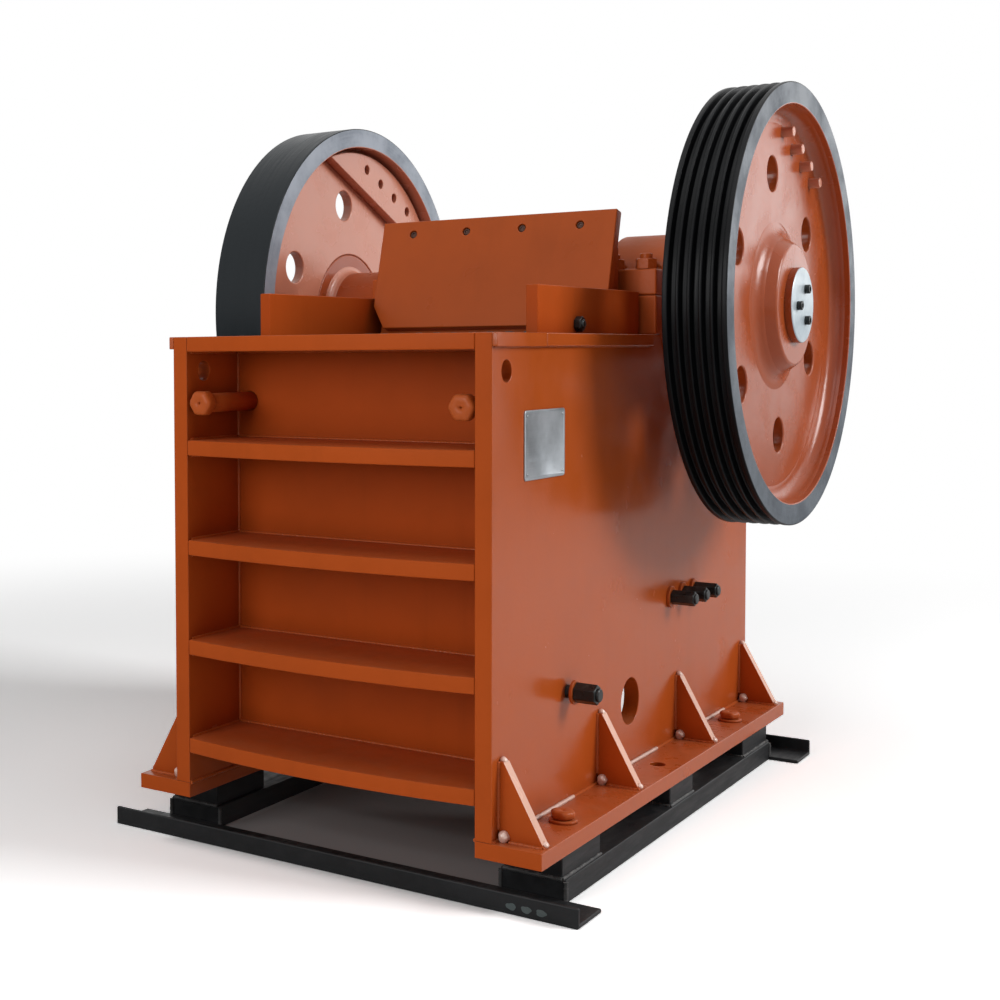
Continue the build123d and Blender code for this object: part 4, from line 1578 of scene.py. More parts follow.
    def rear_seams(self) -> Seams:
        """The seams of the rear ribs and wall, tie plate and toggle beam.

        Returns:
            The seams.
        """
        x, ribs = LAYOUT.inner_half, self.rib_levels(self.rib_tops[: self.rear_rib_count])
        levels = [LAYOUT.top - self.rib_thickness, *ribs, self.rear_wall_bottom]
        seams = self.recess_seams(levels, LAYOUT.rear - self.rear_setback, self.rear_wall)
        uprights = [(self.tie_y, self.tie_z)] + [(y, self.beam_z) for y in self.beam_ys]
        for y, (lower, upper) in uprights:
            seams += [[(sign * x, y, lower), (sign * x, y, upper)] for sign in (-1, 1)]
        return seams

    def weld_highlight_runs(self) -> Seams:
        """Short beads behind the right side's gussets, painted pale as a painted highlight on the weld seam.

        Returns:
            The seams.
        """
        x, z = LAYOUT.half_width + self.highlight_lift, LAYOUT.plate_bottom + self.highlight_lift
        starts = [start + self.gusset_thickness + self.highlight_gap for start in self.gusset_starts[:-1]]
        return [[(x, y, z), (x, y + self.highlight_length, z)] for y in starts]

    def build_welds(self) -> None:
        """Lays the weld beads and the drops at the gussets' ends."""
        x, z = LAYOUT.half_width, self.rim_bottom
        rim = [[(x, LAYOUT.front + self.rim_bead_start, z), (x, self.rim_end, z)]]
        frame_seams = self.front_seams() + mirrored(self.gusset_seams()) + self.rear_seams()
        kinds = (
            ("frame_welds", frame_seams, FINISHES.bead, self.bead),
            ("rim_welds", mirrored(rim), FINISHES.bead, self.bead * self.rim_bead_share),
            # These beads are painted pale: a painted highlight on the plate-to-flange seam.
            ("gusset_weld_runs", mirrored(self.weld_highlight_runs()), FINISHES.splash, self.bead),
        )
        recipe = WeldBead()
        for name, seams, finish, radius in kinds:
            mesh = recipe.make(seam_mesh(seams), finish, Radius=radius)
            self.shop.fit(name, mesh, Body.FRAME, "frame_paint", [finish])
        # The weld drops are painted pale: a painted highlight.
        for size, spots in self.drop_spots().items():
            places = [Place((sign * x, y, z), (0, 0, 1)) for x, y, z in spots for sign in (-1, 1)]
            name = f"gusset_weld_drops_{round(size * 10000)}"
            self.shop.spread(name, weld_drop(size), places, "frame_paint", FINISHES.splash)

    def drop_spots(self) -> dict[float, list[Point]]:
        """The right side's weld drops by radius: in the gussets' corners, on their tips and toes.

        Returns:
            The middles of the drops of each radius.
        """
        x, z = LAYOUT.half_width, LAYOUT.plate_bottom
        (out, up), proud = self.corner_drop_place, self.corner_drop_proud
        corners, tips = [], []
        for start in self.gusset_starts:
            stop, middle = start + self.gusset_thickness, start + self.gusset_thickness / 2
            corners += [(x + out, y, z + up) for y in (start - proud, stop + proud)]
            tips.append((x + self.tip_drop_out, middle, z + self.gusset_height))
            tips.append((x + self.gusset_reach, middle, z + self.toe_drop_up))
        return {self.corner_drop: corners, self.tip_drop: tips}


@dataclass(frozen=True)
class StudKind:
    """The measures of one kind of side stud."""

    label: str
    radius: float
    stand: float
    nut_radius: float
    nut_height: float
    proud: float


@dataclass
class Fastenings(SubAssembly):
    """Studs, nuts, washers and bolts on the frame and the bearing caps."""

    lower_kind: StudKind = StudKind("lower", 0.015, 0.014, 0.023, 0.050, 0.006)
    beam_kind: StudKind = StudKind("beam", 0.013, 0.0, 0.019, 0.058, 0.005)
    lower_stud: Flat = (-0.515, 0.378)
    beam_stud_ys: tuple[float, ...] = (0.118, 0.201, 0.284)
    beam_stud_z: float = 0.503
    stud_chamfer: float = 0.002
    washer_height: float = 0.007
    anchor_ys: Flat = (-0.660, 0.425)
    anchor_x: float = 0.454
    anchor_washer: Flat = (0.030, 0.006)
    anchor_washer_chamfer: float = 0.0015
    anchor_head: Flat = (0.026, 0.019)
    anchor_shank: Flat = (0.015, 0.035)
    clamp_x: float = 0.329
    clamp_z: float = 1.012
    clamp_radius: float = 0.022
    clamp_head: Flat = (0.030, 0.034)
    bolt_chamfer: float = 0.001
    cheek_bolt: Flat = (-0.383, 1.185)
    cheek_nut: Flat = (0.018, 0.016)
    cheek_stud: Flat = (0.010, 0.020)
    cap_stud_xs: Flat = (0.284, 0.366)
    cap_stud_ys: Flat = (0.032, 0.396)
    cap_top: float = 1.325
    cap_nut: Flat = (0.027, 0.026)
    cap_stud: Flat = (0.015, 0.039)
    cap_stud_chamfer: float = 0.0025
    cap_thread_radius: float = 0.0143
    cap_thread_pitch: float = 0.0035
    cap_thread_ridge: float = 0.0011
    soft_nut: float = 0.0012
    soft_bolt: float = 0.001
    soft_cheek: float = 0.0008
    soft_stud: float = 0.0005

    def build(self) -> None:
        """Builds every fastening."""
        self.build_side_studs()
        self.build_cap_studs()
        self.build_anchor_bolts()
        self.build_clamp_bolts()
        self.build_cheek_bolts()

    def build_side_studs(self) -> None:
        """Builds the black studs with their nuts, over painted washers."""
        lower, beam = [], []
        for side in Side:
            x, way = side.value * LAYOUT.half_width, (side.value, 0, 0)
            lower.append(Place((x, *self.lower_stud), way))
            beam += [Place((x, y, self.beam_stud_z), way) for y in self.beam_stud_ys]
        for kind, places, nodes in ((self.lower_kind, lower, ["side_studs"]), (self.beam_kind, beam, [])):
            lift = kind.stand + self.washer_height
            seats = [Place((p.point[0] + p.facing[0] * lift, *p.point[1:]), p.facing) for p in places]
            nut = chamfered_hexagon(kind.nut_radius, kind.nut_height)
            name, slot, finish = f"{kind.label}_stud_nuts", "black_fasteners", FINISHES.fastener
            self.shop.spread(name, nut, seats, slot, finish, self.soft_nut, nodes)
            stud = rod(kind.radius, lift + kind.nut_height + kind.proud, self.stud_chamfer)
            self.shop.spread(f"{kind.label}_studs", stud, places, slot, finish, self.soft_stud)
        washers = SoftNode("side_washers", Body.FRAME, "bolt_paint", FINISHES.bolt, self.soft_nut)
        washers.build(self.shop)

    def build_cap_studs(self) -> None:
        """Builds the nuts and thread ends on the bearing caps."""
        xs = [side.value * x for side in Side for x in self.cap_stud_xs]
        places = [Place((x, y, self.cap_top), (0, 0, 1)) for x in xs for y in self.cap_stud_ys]
        slot, paint, ridge = "cap_paint", FINISHES.bolt, self.cap_thread_ridge
        nut = chamfered_hexagon(*self.cap_nut)
        self.shop.spread("cap_nuts_shaped", nut, places, slot, paint, self.soft_bolt, ["cap_nuts"])
        stud = rod(*self.cap_stud, self.cap_stud_chamfer)
        self.shop.spread("cap_stud_ends", stud, places, slot, paint, self.soft_stud)
        nut_top, thread_end = self.cap_nut[1], self.cap_stud[1] - self.cap_stud_chamfer
        ends = [Place((p.point[0], p.point[1], self.cap_top + nut_top), p.facing) for p in places]
        mesh = ThreadRidge().make(
            place_mesh(ends),
            paint,
            Radius=self.cap_thread_radius,
            Pitch=self.cap_thread_pitch,
            Length=thread_end - nut_top,
            Ridge=ridge,
        )
        self.shop.fit("cap_stud_threads", mesh, Body.FRAME, slot, [paint])

    def build_anchor_bolts(self) -> None:
        """Builds the overpainted anchor bolts, each on a round washer."""
        spots = [(side.value * self.anchor_x, y) for side in Side for y in self.anchor_ys]
        slot, paint, foot = "bolt_paint", FINISHES.bolt, LAYOUT.plate_bottom
        (radius, height), chamfer, steps = self.anchor_washer, self.anchor_washer_chamfer, 40
        rim = [(radius, height - chamfer), (radius - chamfer, height)]
        outline = [(0.0, 0.0), (radius, 0.0), *rim, (0.0, height)]
        washer = turned(outline, steps, "anchor washer")
        levels = (foot, foot + height, LAYOUT.base)
        seats = {z: [Place((x, y, z), (0, 0, 1)) for x, y in spots] for z in levels}
        self.shop.spread("anchor_washers", washer, seats[foot], slot, paint)
        head, name = lumpy_head(*self.anchor_head), "anchor_bolts_shaped"
        self.shop.spread(name, head, seats[foot + height], slot, paint, self.soft_bolt, ["anchor_bolts"])
        shank = rod(*self.anchor_shank, self.bolt_chamfer)
        self.shop.spread("anchor_bolt_shanks", shank, seats[LAYOUT.base], slot, FINISHES.machined)

    def build_clamp_bolts(self) -> None:
        """Builds the two long bolts in the front recess, with their heads to the front."""
        back, front = LAYOUT.wall_back, LAYOUT.front + self.clamp_head[1]
        seats = {
            y: [Place((sign * self.clamp_x, y, self.clamp_z), (0, -1, 0)) for sign in (-1, 1)]
            for y in (back, front)
        }
        slot, paint = "bolt_paint", FINISHES.bolt
        shank, name = rod(self.clamp_radius, back - front, self.bolt_chamfer), "clamp_bolts_shaped"
        self.shop.spread(name, shank, seats[back], slot, paint, replaces=["clamp_bolts"])
        self.shop.spread("clamp_bolt_heads", lumpy_head(*self.clamp_head), seats[front], slot, paint)

    def build_cheek_bolts(self) -> None:
        """Builds the black bolts on the cheek plates' outer sides."""
        x, way = LAYOUT.inner_half, [side.value for side in Side]
        places = [Place((sign * x, *self.cheek_bolt), (sign, 0, 0)) for sign in way]
        nut, stud = chamfered_hexagon(*self.cheek_nut), rod(*self.cheek_stud, self.stud_chamfer)
        name, slot, finish = "cheek_bolts_shaped", "black_fasteners", FINISHES.fastener
        self.shop.spread(name, nut, places, slot, finish, self.soft_cheek, ["cheek_bolts"])
        self.shop.spread("cheek_studs", stud, places, slot, finish)


@dataclass
class Nameplate(SubAssembly):
    """The bare plate on the right side, with a raised edge and a rivet in each corner."""

    y: Flat = (-0.739, -0.539)
    z: Flat = (0.856, 1.002)
    thickness: float = 0.003
    corner: float = 0.007
    least_corner: float = 0.0015
    corner_steps: int = 5
    edge: float = 0.006
    round_off: float = 0.0006
    slope: float = 0.0008
    recess: float = 0.0012
    rivet: Flat = (0.0034, 0.0024)
    rivet_inset: float = 0.012
    rivet_sunk: float = 0.0014

    def outline(self, inset: float) -> list[Flat]:
        """The rounded outline, drawn in by an inset, as (y, z) points.

        Args:
            inset: how far it lies inside the plate's edge.

        Returns:
            The points in order.
        """
        radius = max(self.corner - inset, self.least_corner)
        y0, y1 = self.y[0] + inset + radius, self.y[1] - inset - radius
        z0, z1 = self.z[0] + inset + radius, self.z[1] - inset - radius
        points = []
        for y, z, start in ((y1, z1, 0), (y0, z1, 90), (y0, z0, 180), (y1, z0, 270)):
            for i in range(self.corner_steps + 1):
                angle = math.radians(start + 90 * i / self.corner_steps)
                points.append((y + radius * math.cos(angle), z + radius * math.sin(angle)))
        return points

    def build(self) -> None:
        """Builds the plate and its rivets."""
        back, face = LAYOUT.half_width, LAYOUT.half_width + self.thickness
        levels = [
            (0.0, back),
            (0.0, face - self.round_off),
            (self.round_off, face),
            (self.edge - self.slope, face),
            (self.edge, face - self.recess),
        ]
        shape = bmesh.new()
        rings = [[shape.verts.new((x, y, z)) for y, z in self.outline(inset)] for inset, x in levels]
        skin(shape, rings, False)
        mesh, slot = finished(shape, "nameplate"), "nameplate_metal"
        self.shop.fit("nameplate_shaped", mesh, Body.FRAME, slot, [FINISHES.nameplate], ["nameplate"])
        ys = (self.y[0] + self.rivet_inset, self.y[1] - self.rivet_inset)
        zs = (self.z[0] + self.rivet_inset, self.z[1] - self.rivet_inset)
        places = [Place((face - self.rivet_sunk, y, z), (1, 0, 0)) for y in ys for z in zs]
        self.shop.spread("nameplate_rivets", dome(*self.rivet), places, slot, FINISHES.machined)


@dataclass
class Skid(SubAssembly):
    """The black skid: runners, pads and cross bars, with their welds."""

    runner_y: Flat = (-0.768, 0.594)
    runner_top: float = 0.050
    runner_x: Flat = (0.363, 0.508)
    pad_x: float = 0.500
    pad_depth: float = 0.130
    pads: tuple[Flat, ...] = ((-0.768, -0.570), (-0.150, 0.005), (0.390, 0.594))
    soft: float = 0.003
    bead: float = 0.0045
    end_bead: Flat = (0.009, 0.046)
    bar_front: float = -0.885
    scuff_xs: tuple[float, ...] = (0.442, 0.475, 0.507)
    scuff_z: float = 0.017
    scuff_half: Flat = (0.011, 0.007)
    scuff_points: int = 24
    scuff_proud: float = 0.0003

    def build(self) -> None:
        """Builds the skid."""
        nodes = ("skid_runners", "skid_pads", "skid_cross_bars")
        for node in nodes:
            SoftNode(node, Body.FRAME, "skid_paint", FINISHES.skid, self.soft).build(self.shop)
        seams = []
        x, top = self.pad_x, self.runner_top
        for start, end in self.pads:
            seams += [[(x, start, z), (x, end, z)] for z in (top, LAYOUT.base)]
            seams.append([(x - self.pad_depth, start, top), (x, start, top)])
        low, high = self.end_bead
        seams += [[(x, y, low), (x, y, high)] for x in self.runner_x for y in self.runner_y]
        mesh = WeldBead().make(seam_mesh(mirrored(seams)), FINISHES.skid_weld, Radius=self.bead)
        self.shop.fit("skid_welds", mesh, Body.FRAME, "skid_paint", [FINISHES.skid_weld])
        self.build_scuffs()

    def scuff_outline(self, middle: float) -> list[Flat]:
        """The uneven (x, z) outline of the scuff at a place along the bar.

        Args:
            middle: the place's x.

        Returns:
            The points in order.
        """
        points = []
        for i in range(self.scuff_points):
            angle = 2 * math.pi * i / self.scuff_points
            reach = 1 + 0.09 * math.sin(3 * angle + 40 * middle) + 0.05 * math.cos(5 * angle)
            across, up = (half * reach for half in self.scuff_half)
            points.append((middle + across * math.cos(angle), self.scuff_z + up * math.sin(angle)))
        return points

    def build_scuffs(self) -> None:
        """Builds three rubbed places on the front cross bar's upright leg."""
        shape = bmesh.new()
        ys = (self.bar_front - self.scuff_proud, self.bar_front + self.scuff_proud)
        for middle in self.scuff_xs:
            outline = self.scuff_outline(middle)
            skin(shape, [[shape.verts.new((x, y, z)) for x, z in outline] for y in ys], False)
        mesh = finished(shape, "scuffs")
        self.shop.flatten(self.shop.fit("skid_bar_scuffs", mesh, Body.FRAME, "skid_paint", [FINISHES.scuff]))


@dataclass
class Bearings(SubAssembly):
    """The two bearing housings with their caps."""

    soft: float = 0.005

    def build(self) -> None:
        """Builds the housings."""
        for node in ("bearing_housings", "bearing_caps"):
            SoftNode(node, Body.FRAME, "housing_paint", FINISHES.casting, self.soft).build(self.shop)


@dataclass
class Wheels(SubAssembly):
    """The grooved pulley, the flywheel and what is bolted to them."""

    radius: float = 0.538
    rim_inner: float = 0.485
    rim_round: float = 0.0026
    inside_reach: float = 0.003
    groove_count: int = 5
    groove_pitch: float = 0.0255
    groove_depth: float = 0.017
    groove_top: float = 0.0095
    groove_floor: float = 0.0055
    rim_start: float = 0.535
    rim_ends: dict[Side, float] = field(default_factory=lambda: {Side.RIGHT: 0.679, Side.LEFT: 0.693})
    web: Flat = (0.595, 0.625)
    fillet: float = 0.040
    back_fillet: float = 0.012
    fillet_sunk: float = 0.002
    hub_fillet: float = 0.026
    hub_fillet_rise: float = 0.022
    hub_fillet_back: float = 0.030
    boss_fillet: float = 0.020
    hub_root: float = 0.180
    hub_face: float = 0.147
    hub_end: float = 0.672
    boss: float = 0.125
    plate_radius: float = 0.092
    plate_end: float = 0.690
    plate_chamfer: float = 0.002
    plate_steps: int = 96
    dimple: tuple[Flat, ...] = ((0.012, 0.0), (0.008, 0.004), (0.0, 0.006))
    screw_circle: float = 0.044
    screw_phase: float = 63.0
    screw_head: Point = (0.011, 0.012, 0.0068)
    soft_plate: float = 0.0008
    soft_screw: float = 0.0004
    steps: int = 160

    def build(self) -> None:
        """Builds both wheels."""
        # The pulley takes the darker wheel paint, painted shade; the flywheel takes the pale copy, painted
        # sheen.
        kinds = (
            (Side.RIGHT, "pulley", FINISHES.pulley_rim, FINISHES.turned, FINISHES.wheel),
            (Side.LEFT, "flywheel", FINISHES.flywheel_rim, FINISHES.flywheel_face, FINISHES.sheen_painted_wheel),
        )
        for side, kind, black, face, paint in kinds:
            self.build_rim(side, kind, [black, face, paint])
            SoftNode(f"{kind}_web", Body.ROTOR, "wheel_paint", paint, width=0.004).build(self.shop)
            self.build_fillets(side, kind, paint)
        SoftNode("wheel_hubs", Body.ROTOR, "wheel_paint", FINISHES.wheel, width=0.005).build(self.shop)
        # The counterweights take the pale copy with painted sheen.
        weights, pale = "counterweights", FINISHES.sheen_painted_wheel
        SoftNode(weights, Body.ROTOR, "counterweight_paint", pale, width=0.003).build(self.shop)
        SoftNode("eccentric_shaft", Body.ROTOR, "shaft_steel", FINISHES.shaft, width=0.002).build(self.shop)
        self.build_end_plates()

    def build_rim(self, side: Side, kind: str, finishes: Sequence[Finish]) -> None:
        """Builds a rim: black running face, turned end faces and painted inside.

        Args:
            side: the wheel's side.
            kind: the wheel's name.
            finishes: of the running face, the end faces and the inside.
        """
        ends = (self.rim_start, self.rim_ends[side])
        mesh = about_shaft(turned(self.rim_outline(side), self.steps, f"{kind} rim"), side)
        for face in mesh.polygons:
            x = abs(face.center[0])
            radius = math.hypot(face.center[1] - LAYOUT.shaft_y, face.center[2] - LAYOUT.shaft_z)
            flat = min(abs(x - end) for end in ends) < 1e-4
            inside = radius < self.rim_inner + self.inside_reach
            face.material_index = 1 if flat else 2 if inside else 0
        node = f"{kind}_rim"
        name, slot = f"{node}_shaped", f"{node}_finish"
        self.shop.flatten(self.shop.fit(name, mesh, Body.ROTOR, slot, finishes, [node]))

    def rim_outline(self, side: Side) -> list[Flat]:
        """The rounded (radius, x) outline of a rim, with the pulley's belt grooves.

        Args:
            side: the wheel's side.

        Returns:
            The points in order.
        """
        start, end = self.rim_start, self.rim_ends[side]
        corners = [(self.rim_inner, start), (self.radius, start)]
        if side is Side.RIGHT:
            first = (start + end - (self.groove_count - 1) * self.groove_pitch) / 2
            floor = self.radius - self.groove_depth
            for i in range(self.groove_count):
                middle = first + i * self.groove_pitch
                corners.append((self.radius, middle - self.groove_top))
                corners += [(floor, middle - self.groove_floor), (floor, middle + self.groove_floor)]
                corners.append((self.radius, middle + self.groove_top))
        corners += [(self.radius, end), (self.rim_inner, end)]
        return rounded(corners, self.rim_round)

    def fillet_loops(self) -> list[list[Flat]]:
        """The (radius, x) outlines of the fillets: both faces at the rim, then hub and boss.

        Returns:
            Each outline as its points in order.
        """
        inner, outer = self.web
        rim, root, boss, sunk = self.rim_inner, self.hub_root, self.boss, self.fillet_sunk
        loops = []
        for face, out, reach in ((outer, 1, self.fillet), (inner, -1, self.back_fillet)):
            start, end, under = rim - reach, face + out * reach, face - out * sunk
            curve = soft_corner((start, face), (rim, face), (rim, end), 9)
            loops.append([*curve, (rim + sunk, end), (rim + sunk, under), (start, under)])
        slope = (root - self.hub_face) / (self.hub_end - outer)
        start, rise, under = root + self.hub_fillet, self.hub_fillet_rise, outer - sunk
        top = root - slope * rise
        curve = soft_corner((start, outer), (root, outer), (top, outer + rise))
        back = [(top - sunk, outer + rise), (root - self.hub_fillet_back, under), (start, under)]
        loops.append(curve + back)
        start, end, under = boss + self.boss_fillet, inner - self.boss_fillet, inner + sunk
        curve = soft_corner((start, inner), (boss, inner), (boss, end))
        loops.append([*curve, (boss - sunk, end), (boss - sunk, under), (start, under)])
        return loops

    def build_fillets(self, side: Side, kind: str, paint: Finish) -> None:
        """Builds the cast fillets where the web meets rim and hub, on both faces.

        Args:
            side: the wheel's side.
            kind: the wheel's name.
            paint: the wheel's finish.
        """
        shape = bmesh.new()
        for loop in self.fillet_loops():
            ring = about_shaft(turned(loop, self.steps, "fillet"), side)
            shape.from_mesh(ring)
            bpy.data.meshes.remove(ring)
        mesh = finished(shape, f"{kind} fillets")
        self.shop.flatten(self.shop.fit(f"{kind}_fillets", mesh, Body.ROTOR, "wheel_paint", [paint]))

    def build_end_plates(self) -> None:
        """Builds the discs on the shaft's ends with their screws."""
        shape = bmesh.new()
        screws = []
        for side in Side:
            radius, back, face = self.plate_radius, self.hub_end, self.plate_end
            rim = [(radius, face - self.plate_chamfer), (radius - self.plate_chamfer, face)]
            dimple = [(reach, face - depth) for reach, depth in self.dimple]
            outline = [(0.0, back), (radius, back), *rim, *dimple]
            disc = about_shaft(turned(outline, self.plate_steps, "end plate"), side)
            shape.from_mesh(disc)
            bpy.data.meshes.remove(disc)
            for i in range(3):
                angle = math.radians(self.screw_phase + 120 * i)
                y = LAYOUT.shaft_y + self.screw_circle * math.cos(angle)
                z = LAYOUT.shaft_z + self.screw_circle * math.sin(angle)
                screws.append(Place((side.value * face, y, z), (side.value, 0, 0)))
        mesh = finished(shape, "end plates")
        for face in mesh.polygons:
            face.material_index = 0 if abs(face.normal[0]) > 0.7 else 1
        name, node, slot = "shaft_end_plates_shaped", "shaft_end_plates", "end_plate_steel"
        finishes = [FINISHES.end_plate, FINISHES.wheel]
        self.shop.soften(self.shop.fit(name, mesh, Body.ROTOR, slot, finishes, [node]), self.soft_plate)
        head, black = socket_head(*self.screw_head), FINISHES.fastener
        self.shop.spread("end_plate_screws", head, screws, slot, black, self.soft_screw, body=Body.ROTOR)


@dataclass
class CrushingChamber(SubAssembly):
    """The jaws, the cheek plates, and the swing jaw with its guard."""

    guard_low: Flat = (-0.129, 1.188)
    guard_lean: float = 15.0
    guard_length: float = 0.293
    screw_drop: float = 0.036
    screw_xs: tuple[float, ...] = (-0.2325, -0.0775, 0.0775, 0.2325)
    screw_sunk: float = 0.010
    screw_head: Point = (0.009, 0.006, 0.0052)
    soft_screw: float = 0.0003

    def build(self) -> None:
        """Builds the chamber."""
        pieces = [
            SoftNode("fixed_jaw", Body.FRAME, "wear_steel", FINISHES.wear_steel, width=0.003),
            SoftNode("cheek_plate_left", Body.FRAME, "frame_paint", FINISHES.front, width=0.0025),
            SoftNode("cheek_plate_right", Body.FRAME, "frame_paint", FINISHES.front, width=0.0025),
            SoftNode("moving_jaw", Body.JAW, "wear_steel", FINISHES.wear_steel, width=0.003),
            SoftNode("swing_jaw", Body.JAW, "jaw_paint", FINISHES.casting, width=0.005),
            SoftNode("jaw_barrel", Body.JAW, "jaw_paint", FINISHES.casting, width=0.004),
            SoftNode("barrel_rings", Body.JAW, "jaw_paint", FINISHES.casting, width=0.002),
            SoftNode("guard_plate", Body.JAW, "guard_paint", FINISHES.guard, width=0.003),
        ]
        for piece in pieces:
            piece.build(self.shop)
        self.build_guard_screws()

    def build_guard_screws(self) -> None:
        """Builds the socket screws sunk in the guard."""
        lean = math.radians(self.guard_lean)
        up, out = (math.sin(lean), math.cos(lean)), (-math.cos(lean), math.sin(lean))
        height, sunk = self.guard_length - self.screw_drop, self.screw_sunk
        y = self.guard_low[0] + up[0] * height - out[0] * sunk
        z = self.guard_low[1] + up[1] * height - out[1] * sunk
        places = [Place((x, y, z), (0.0, *out)) for x in self.screw_xs]
        self.shop.spread(
            "guard_screws_shaped",
            socket_head(*self.screw_head),
            places,
            "black_fasteners",
            FINISHES.screw,
            self.soft_screw,
            ["guard_screws"],
            Body.JAW,
        )


@dataclass
class ToggleGear(SubAssembly):
    """The toggle plate, and the tension rod with its spring."""

    rod_z: float = 0.305
    thread_start: float = 0.888
    thread_end: float = 0.915
    thread_radius: float = 0.0182
    thread_pitch: float = 0.004
    thread_ridge: float = 0.0012
    thread_runout: float = 0.002

    def build(self) -> None:
        """Builds the gear."""
        SoftNode("toggle_plate", Body.FRAME, "toggle_steel", FINISHES.toggle, width=0.003).build(self.shop)
        steel = FINISHES.machined
        SoftNode("tension_rod", Body.FRAME, "machined_steel", steel, width=0.0012).build(self.shop)
        mesh = cad_copy("tension_spring")
        name, node, lacquer = "tension_spring_shaped", "tension_spring", FINISHES.spring
        self.shop.fit(name, mesh, Body.FRAME, "spring_steel", [lacquer], [node])
        places = [Place((0.0, self.thread_start, self.rod_z), (0, 1, 0))]
        mesh = ThreadRidge().make(
            place_mesh(places),
            FINISHES.machined,
            Radius=self.thread_radius,
            Pitch=self.thread_pitch,
            Length=self.thread_end - self.thread_start - self.thread_runout,
            Ridge=self.thread_ridge,
        )
        self.shop.fit("tension_rod_thread", mesh, Body.FRAME, "machined_steel", [FINISHES.machined])


# Studio


@dataclass(frozen=True)
class Softbox:
    """A rectangular lamp: where it hangs, the point it faces, its size and its watts."""

    name: str
    place: Point
    size: Flat
    power: float
    target: Point = (0.0, 0.0, 0.8)

    def build(self) -> None:
        """Hangs the lamp."""
        light = bpy.data.lights.new(self.name, "AREA")
        light.shape = "RECTANGLE"
        light.size, light.size_y = self.size
        light.energy = self.power
        lamp = bpy.data.objects.new(self.name, light)
        way = Vector(self.target) - Vector(self.place)
        lamp.rotation_euler = way.to_track_quat("-Z", "Y").to_euler()
        lamp.location = self.place
        bpy.context.scene.collection.objects.link(lamp)


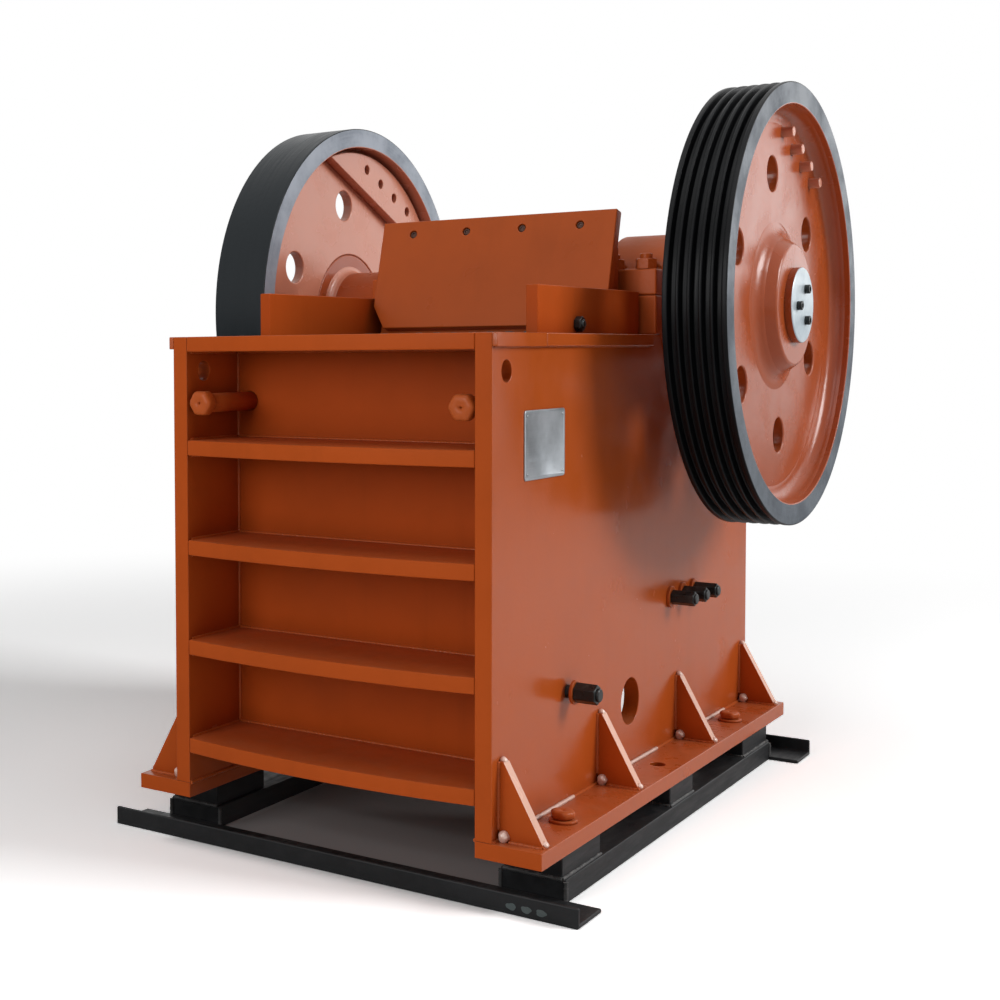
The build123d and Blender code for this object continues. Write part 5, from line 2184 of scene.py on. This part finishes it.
@dataclass
class Studio:
    """Floor, lamps, background and camera."""

    lamps: tuple[Softbox, ...] = (
        Softbox("key softbox", (8.2, 2.6, 5.6), (3.6, 3.6), 590.0),
        Softbox("front softbox", (-0.6, -4.8, 2.2), (2.6, 2.0), 68.0),
        Softbox("corner softbox", (3.0, -3.6, 1.6), (1.8, 1.8), 4.0),
        Softbox("overhead softbox", (0.3, -1.6, 4.5), (2.6, 2.6), 36.0, (0.0, 0.0, 0.9)),
        Softbox("rear softbox", (2.1, 4.8, 2.3), (2.8, 1.9), 16.0, (0.0, 0.4, 1.3)),
    )
    camera_place: Point = (1.7565, -3.6544, 1.1239)
    yaw: float = 36.95
    pitch: float = 2.59
    roll: float = -0.43
    lens: float = 54.99
    sensor: float = 36.0
    shift: Flat = (0.3004, -0.0769)
    floor_size: float = 30.0
    floor_colour: Colour = (0.80, 0.80, 0.80)
    floor_seen: Colour = (1.7, 1.7, 1.7)
    # floor_shaded and the shade sizes below paint a shadow under the machine.
    floor_shaded: Colour = (0.35, 0.35, 0.35)
    floor_fade: Flat = (1.4, 5.0)
    shade_middle: float = -0.09
    shade_across: Flat = (0.34, 0.44)
    shade_along: Flat = (0.74, 0.86)
    ambient: float = 0.11

    def build(self) -> None:
        """Sets the stage."""
        bpy.context.scene.view_settings.view_transform = "Standard"
        self.build_floor()
        self.build_world()
        for lamp in self.lamps:
            lamp.build()
        self.build_camera()

    def build_floor(self) -> None:
        """Lays a pale floor with a painted shadow under the machine, turning white far out."""
        shape = bmesh.new()
        bmesh.ops.create_grid(shape, x_segments=8, y_segments=8, size=self.floor_size / 2)
        mesh = bpy.data.meshes.new("studio floor")
        shape.to_mesh(mesh)
        shape.free()
        shading = Shading("studio floor")
        shading.set("Base Color", self.floor_colour)
        shading.set("Roughness", 0.8)
        shading.set("Specular IOR Level", 0.2)
        x, y, _ = shading.split(shading.position)
        square = shading.maths("ADD", shading.maths("MULTIPLY", x, x), shading.maths("MULTIPLY", y, y))
        far = shading.band(shading.maths("SQRT", square), *self.floor_fade)
        seen = shading.add("ShaderNodeLightPath").outputs["Is Camera Ray"]
        glow = shading.add("ShaderNodeEmission")
        mix = shading.add("ShaderNodeMixShader")
        shading.feed(mix.inputs[0], shading.maths("MULTIPLY", far, seen))
        near = shading.add("ShaderNodeMixShader")
        pale = shading.add("ShaderNodeBsdfDiffuse")
        # Painted shadow: a darker floor colour in a soft rectangle under the machine, seen by the camera.
        across = shading.band(shading.maths("ABSOLUTE", x), *self.shade_across)
        off_middle = shading.maths("ADD", y, -self.shade_middle)
        along = shading.band(shading.maths("ABSOLUTE", off_middle), *self.shade_along)
        clear = shading.maths("MAXIMUM", across, along)
        shading.feed(pale.inputs["Color"], shading.blend(clear, self.floor_shaded, self.floor_seen))
        shading.feed(near.inputs[0], seen)
        shading.feed(near.inputs[1], shading.surface.outputs[0])
        shading.feed(near.inputs[2], pale.outputs[0])
        shading.feed(mix.inputs[1], near.outputs[0])
        shading.feed(mix.inputs[2], glow.outputs[0])
        output = [node for node in shading.tree.nodes if node.type == "OUTPUT_MATERIAL"][0]
        shading.feed(output.inputs["Surface"], mix.outputs[0])
        mesh.materials.append(shading.material)
        floor = bpy.data.objects.new("studio floor", mesh)
        bpy.context.scene.collection.objects.link(floor)

    def build_world(self) -> None:
        """Makes a world that looks white and gives an even, weaker light."""
        world = bpy.data.worlds.new("white room")
        bpy.context.scene.world = world
        world.use_nodes = True
        tree = world.node_tree
        tree.nodes.clear()
        path = tree.nodes.new("ShaderNodeLightPath")
        most = path.outputs["Is Camera Ray"]
        for kind in ("Is Glossy Ray", "Is Transmission Ray"):
            larger = tree.nodes.new("ShaderNodeMath")
            larger.operation = "MAXIMUM"
            tree.links.new(most, larger.inputs[0])
            tree.links.new(path.outputs[kind], larger.inputs[1])
            most = larger.outputs[0]
        strength = tree.nodes.new("ShaderNodeMapRange")
        tree.links.new(most, strength.inputs["Value"])
        strength.inputs["To Min"].default_value = self.ambient
        strength.inputs["To Max"].default_value = 1.0
        background = tree.nodes.new("ShaderNodeBackground")
        background.inputs["Color"].default_value = (1.0, 1.0, 1.0, 1.0)
        tree.links.new(strength.outputs["Result"], background.inputs["Strength"])
        output = tree.nodes.new("ShaderNodeOutputWorld")
        tree.links.new(background.outputs[0], output.inputs[0])

    def build_camera(self) -> None:
        """Sets the camera at the photograph's viewing angle."""
        yaw, pitch, roll = (math.radians(angle) for angle in (self.yaw, self.pitch, self.roll))
        level_part = math.cos(pitch)
        ahead = Vector((-math.sin(yaw) * level_part, math.cos(yaw) * level_part, -math.sin(pitch)))
        level = Vector((math.cos(yaw), math.sin(yaw), 0.0))
        above = level.cross(ahead)
        across = math.cos(roll) * level + math.sin(roll) * above
        upright = -math.sin(roll) * level + math.cos(roll) * above
        turn = Matrix((across, upright, -ahead)).transposed().to_4x4()
        lens = bpy.data.cameras.new("photograph camera")
        lens.lens = self.lens
        lens.sensor_width = self.sensor
        lens.shift_x, lens.shift_y = self.shift
        lens.dof.use_dof = False
        camera = bpy.data.objects.new("photograph camera", lens)
        camera.matrix_world = Matrix.Translation(self.camera_place) @ turn
        bpy.context.scene.collection.objects.link(camera)
        bpy.context.scene.camera = camera


def main() -> None:
    """Builds the machine's sub-assemblies and the studio."""
    logging.basicConfig(level=logging.INFO, format="%(message)s")
    shop = Workshop()
    for part in (FrameBox, Fastenings, Nameplate, Skid, Bearings, Wheels, CrushingChamber, ToggleGear):
        part(shop).build()
    Studio().build()
    log.info("%d pieces fitted", len(shop.pieces))


if __name__ == "__main__":
    main()
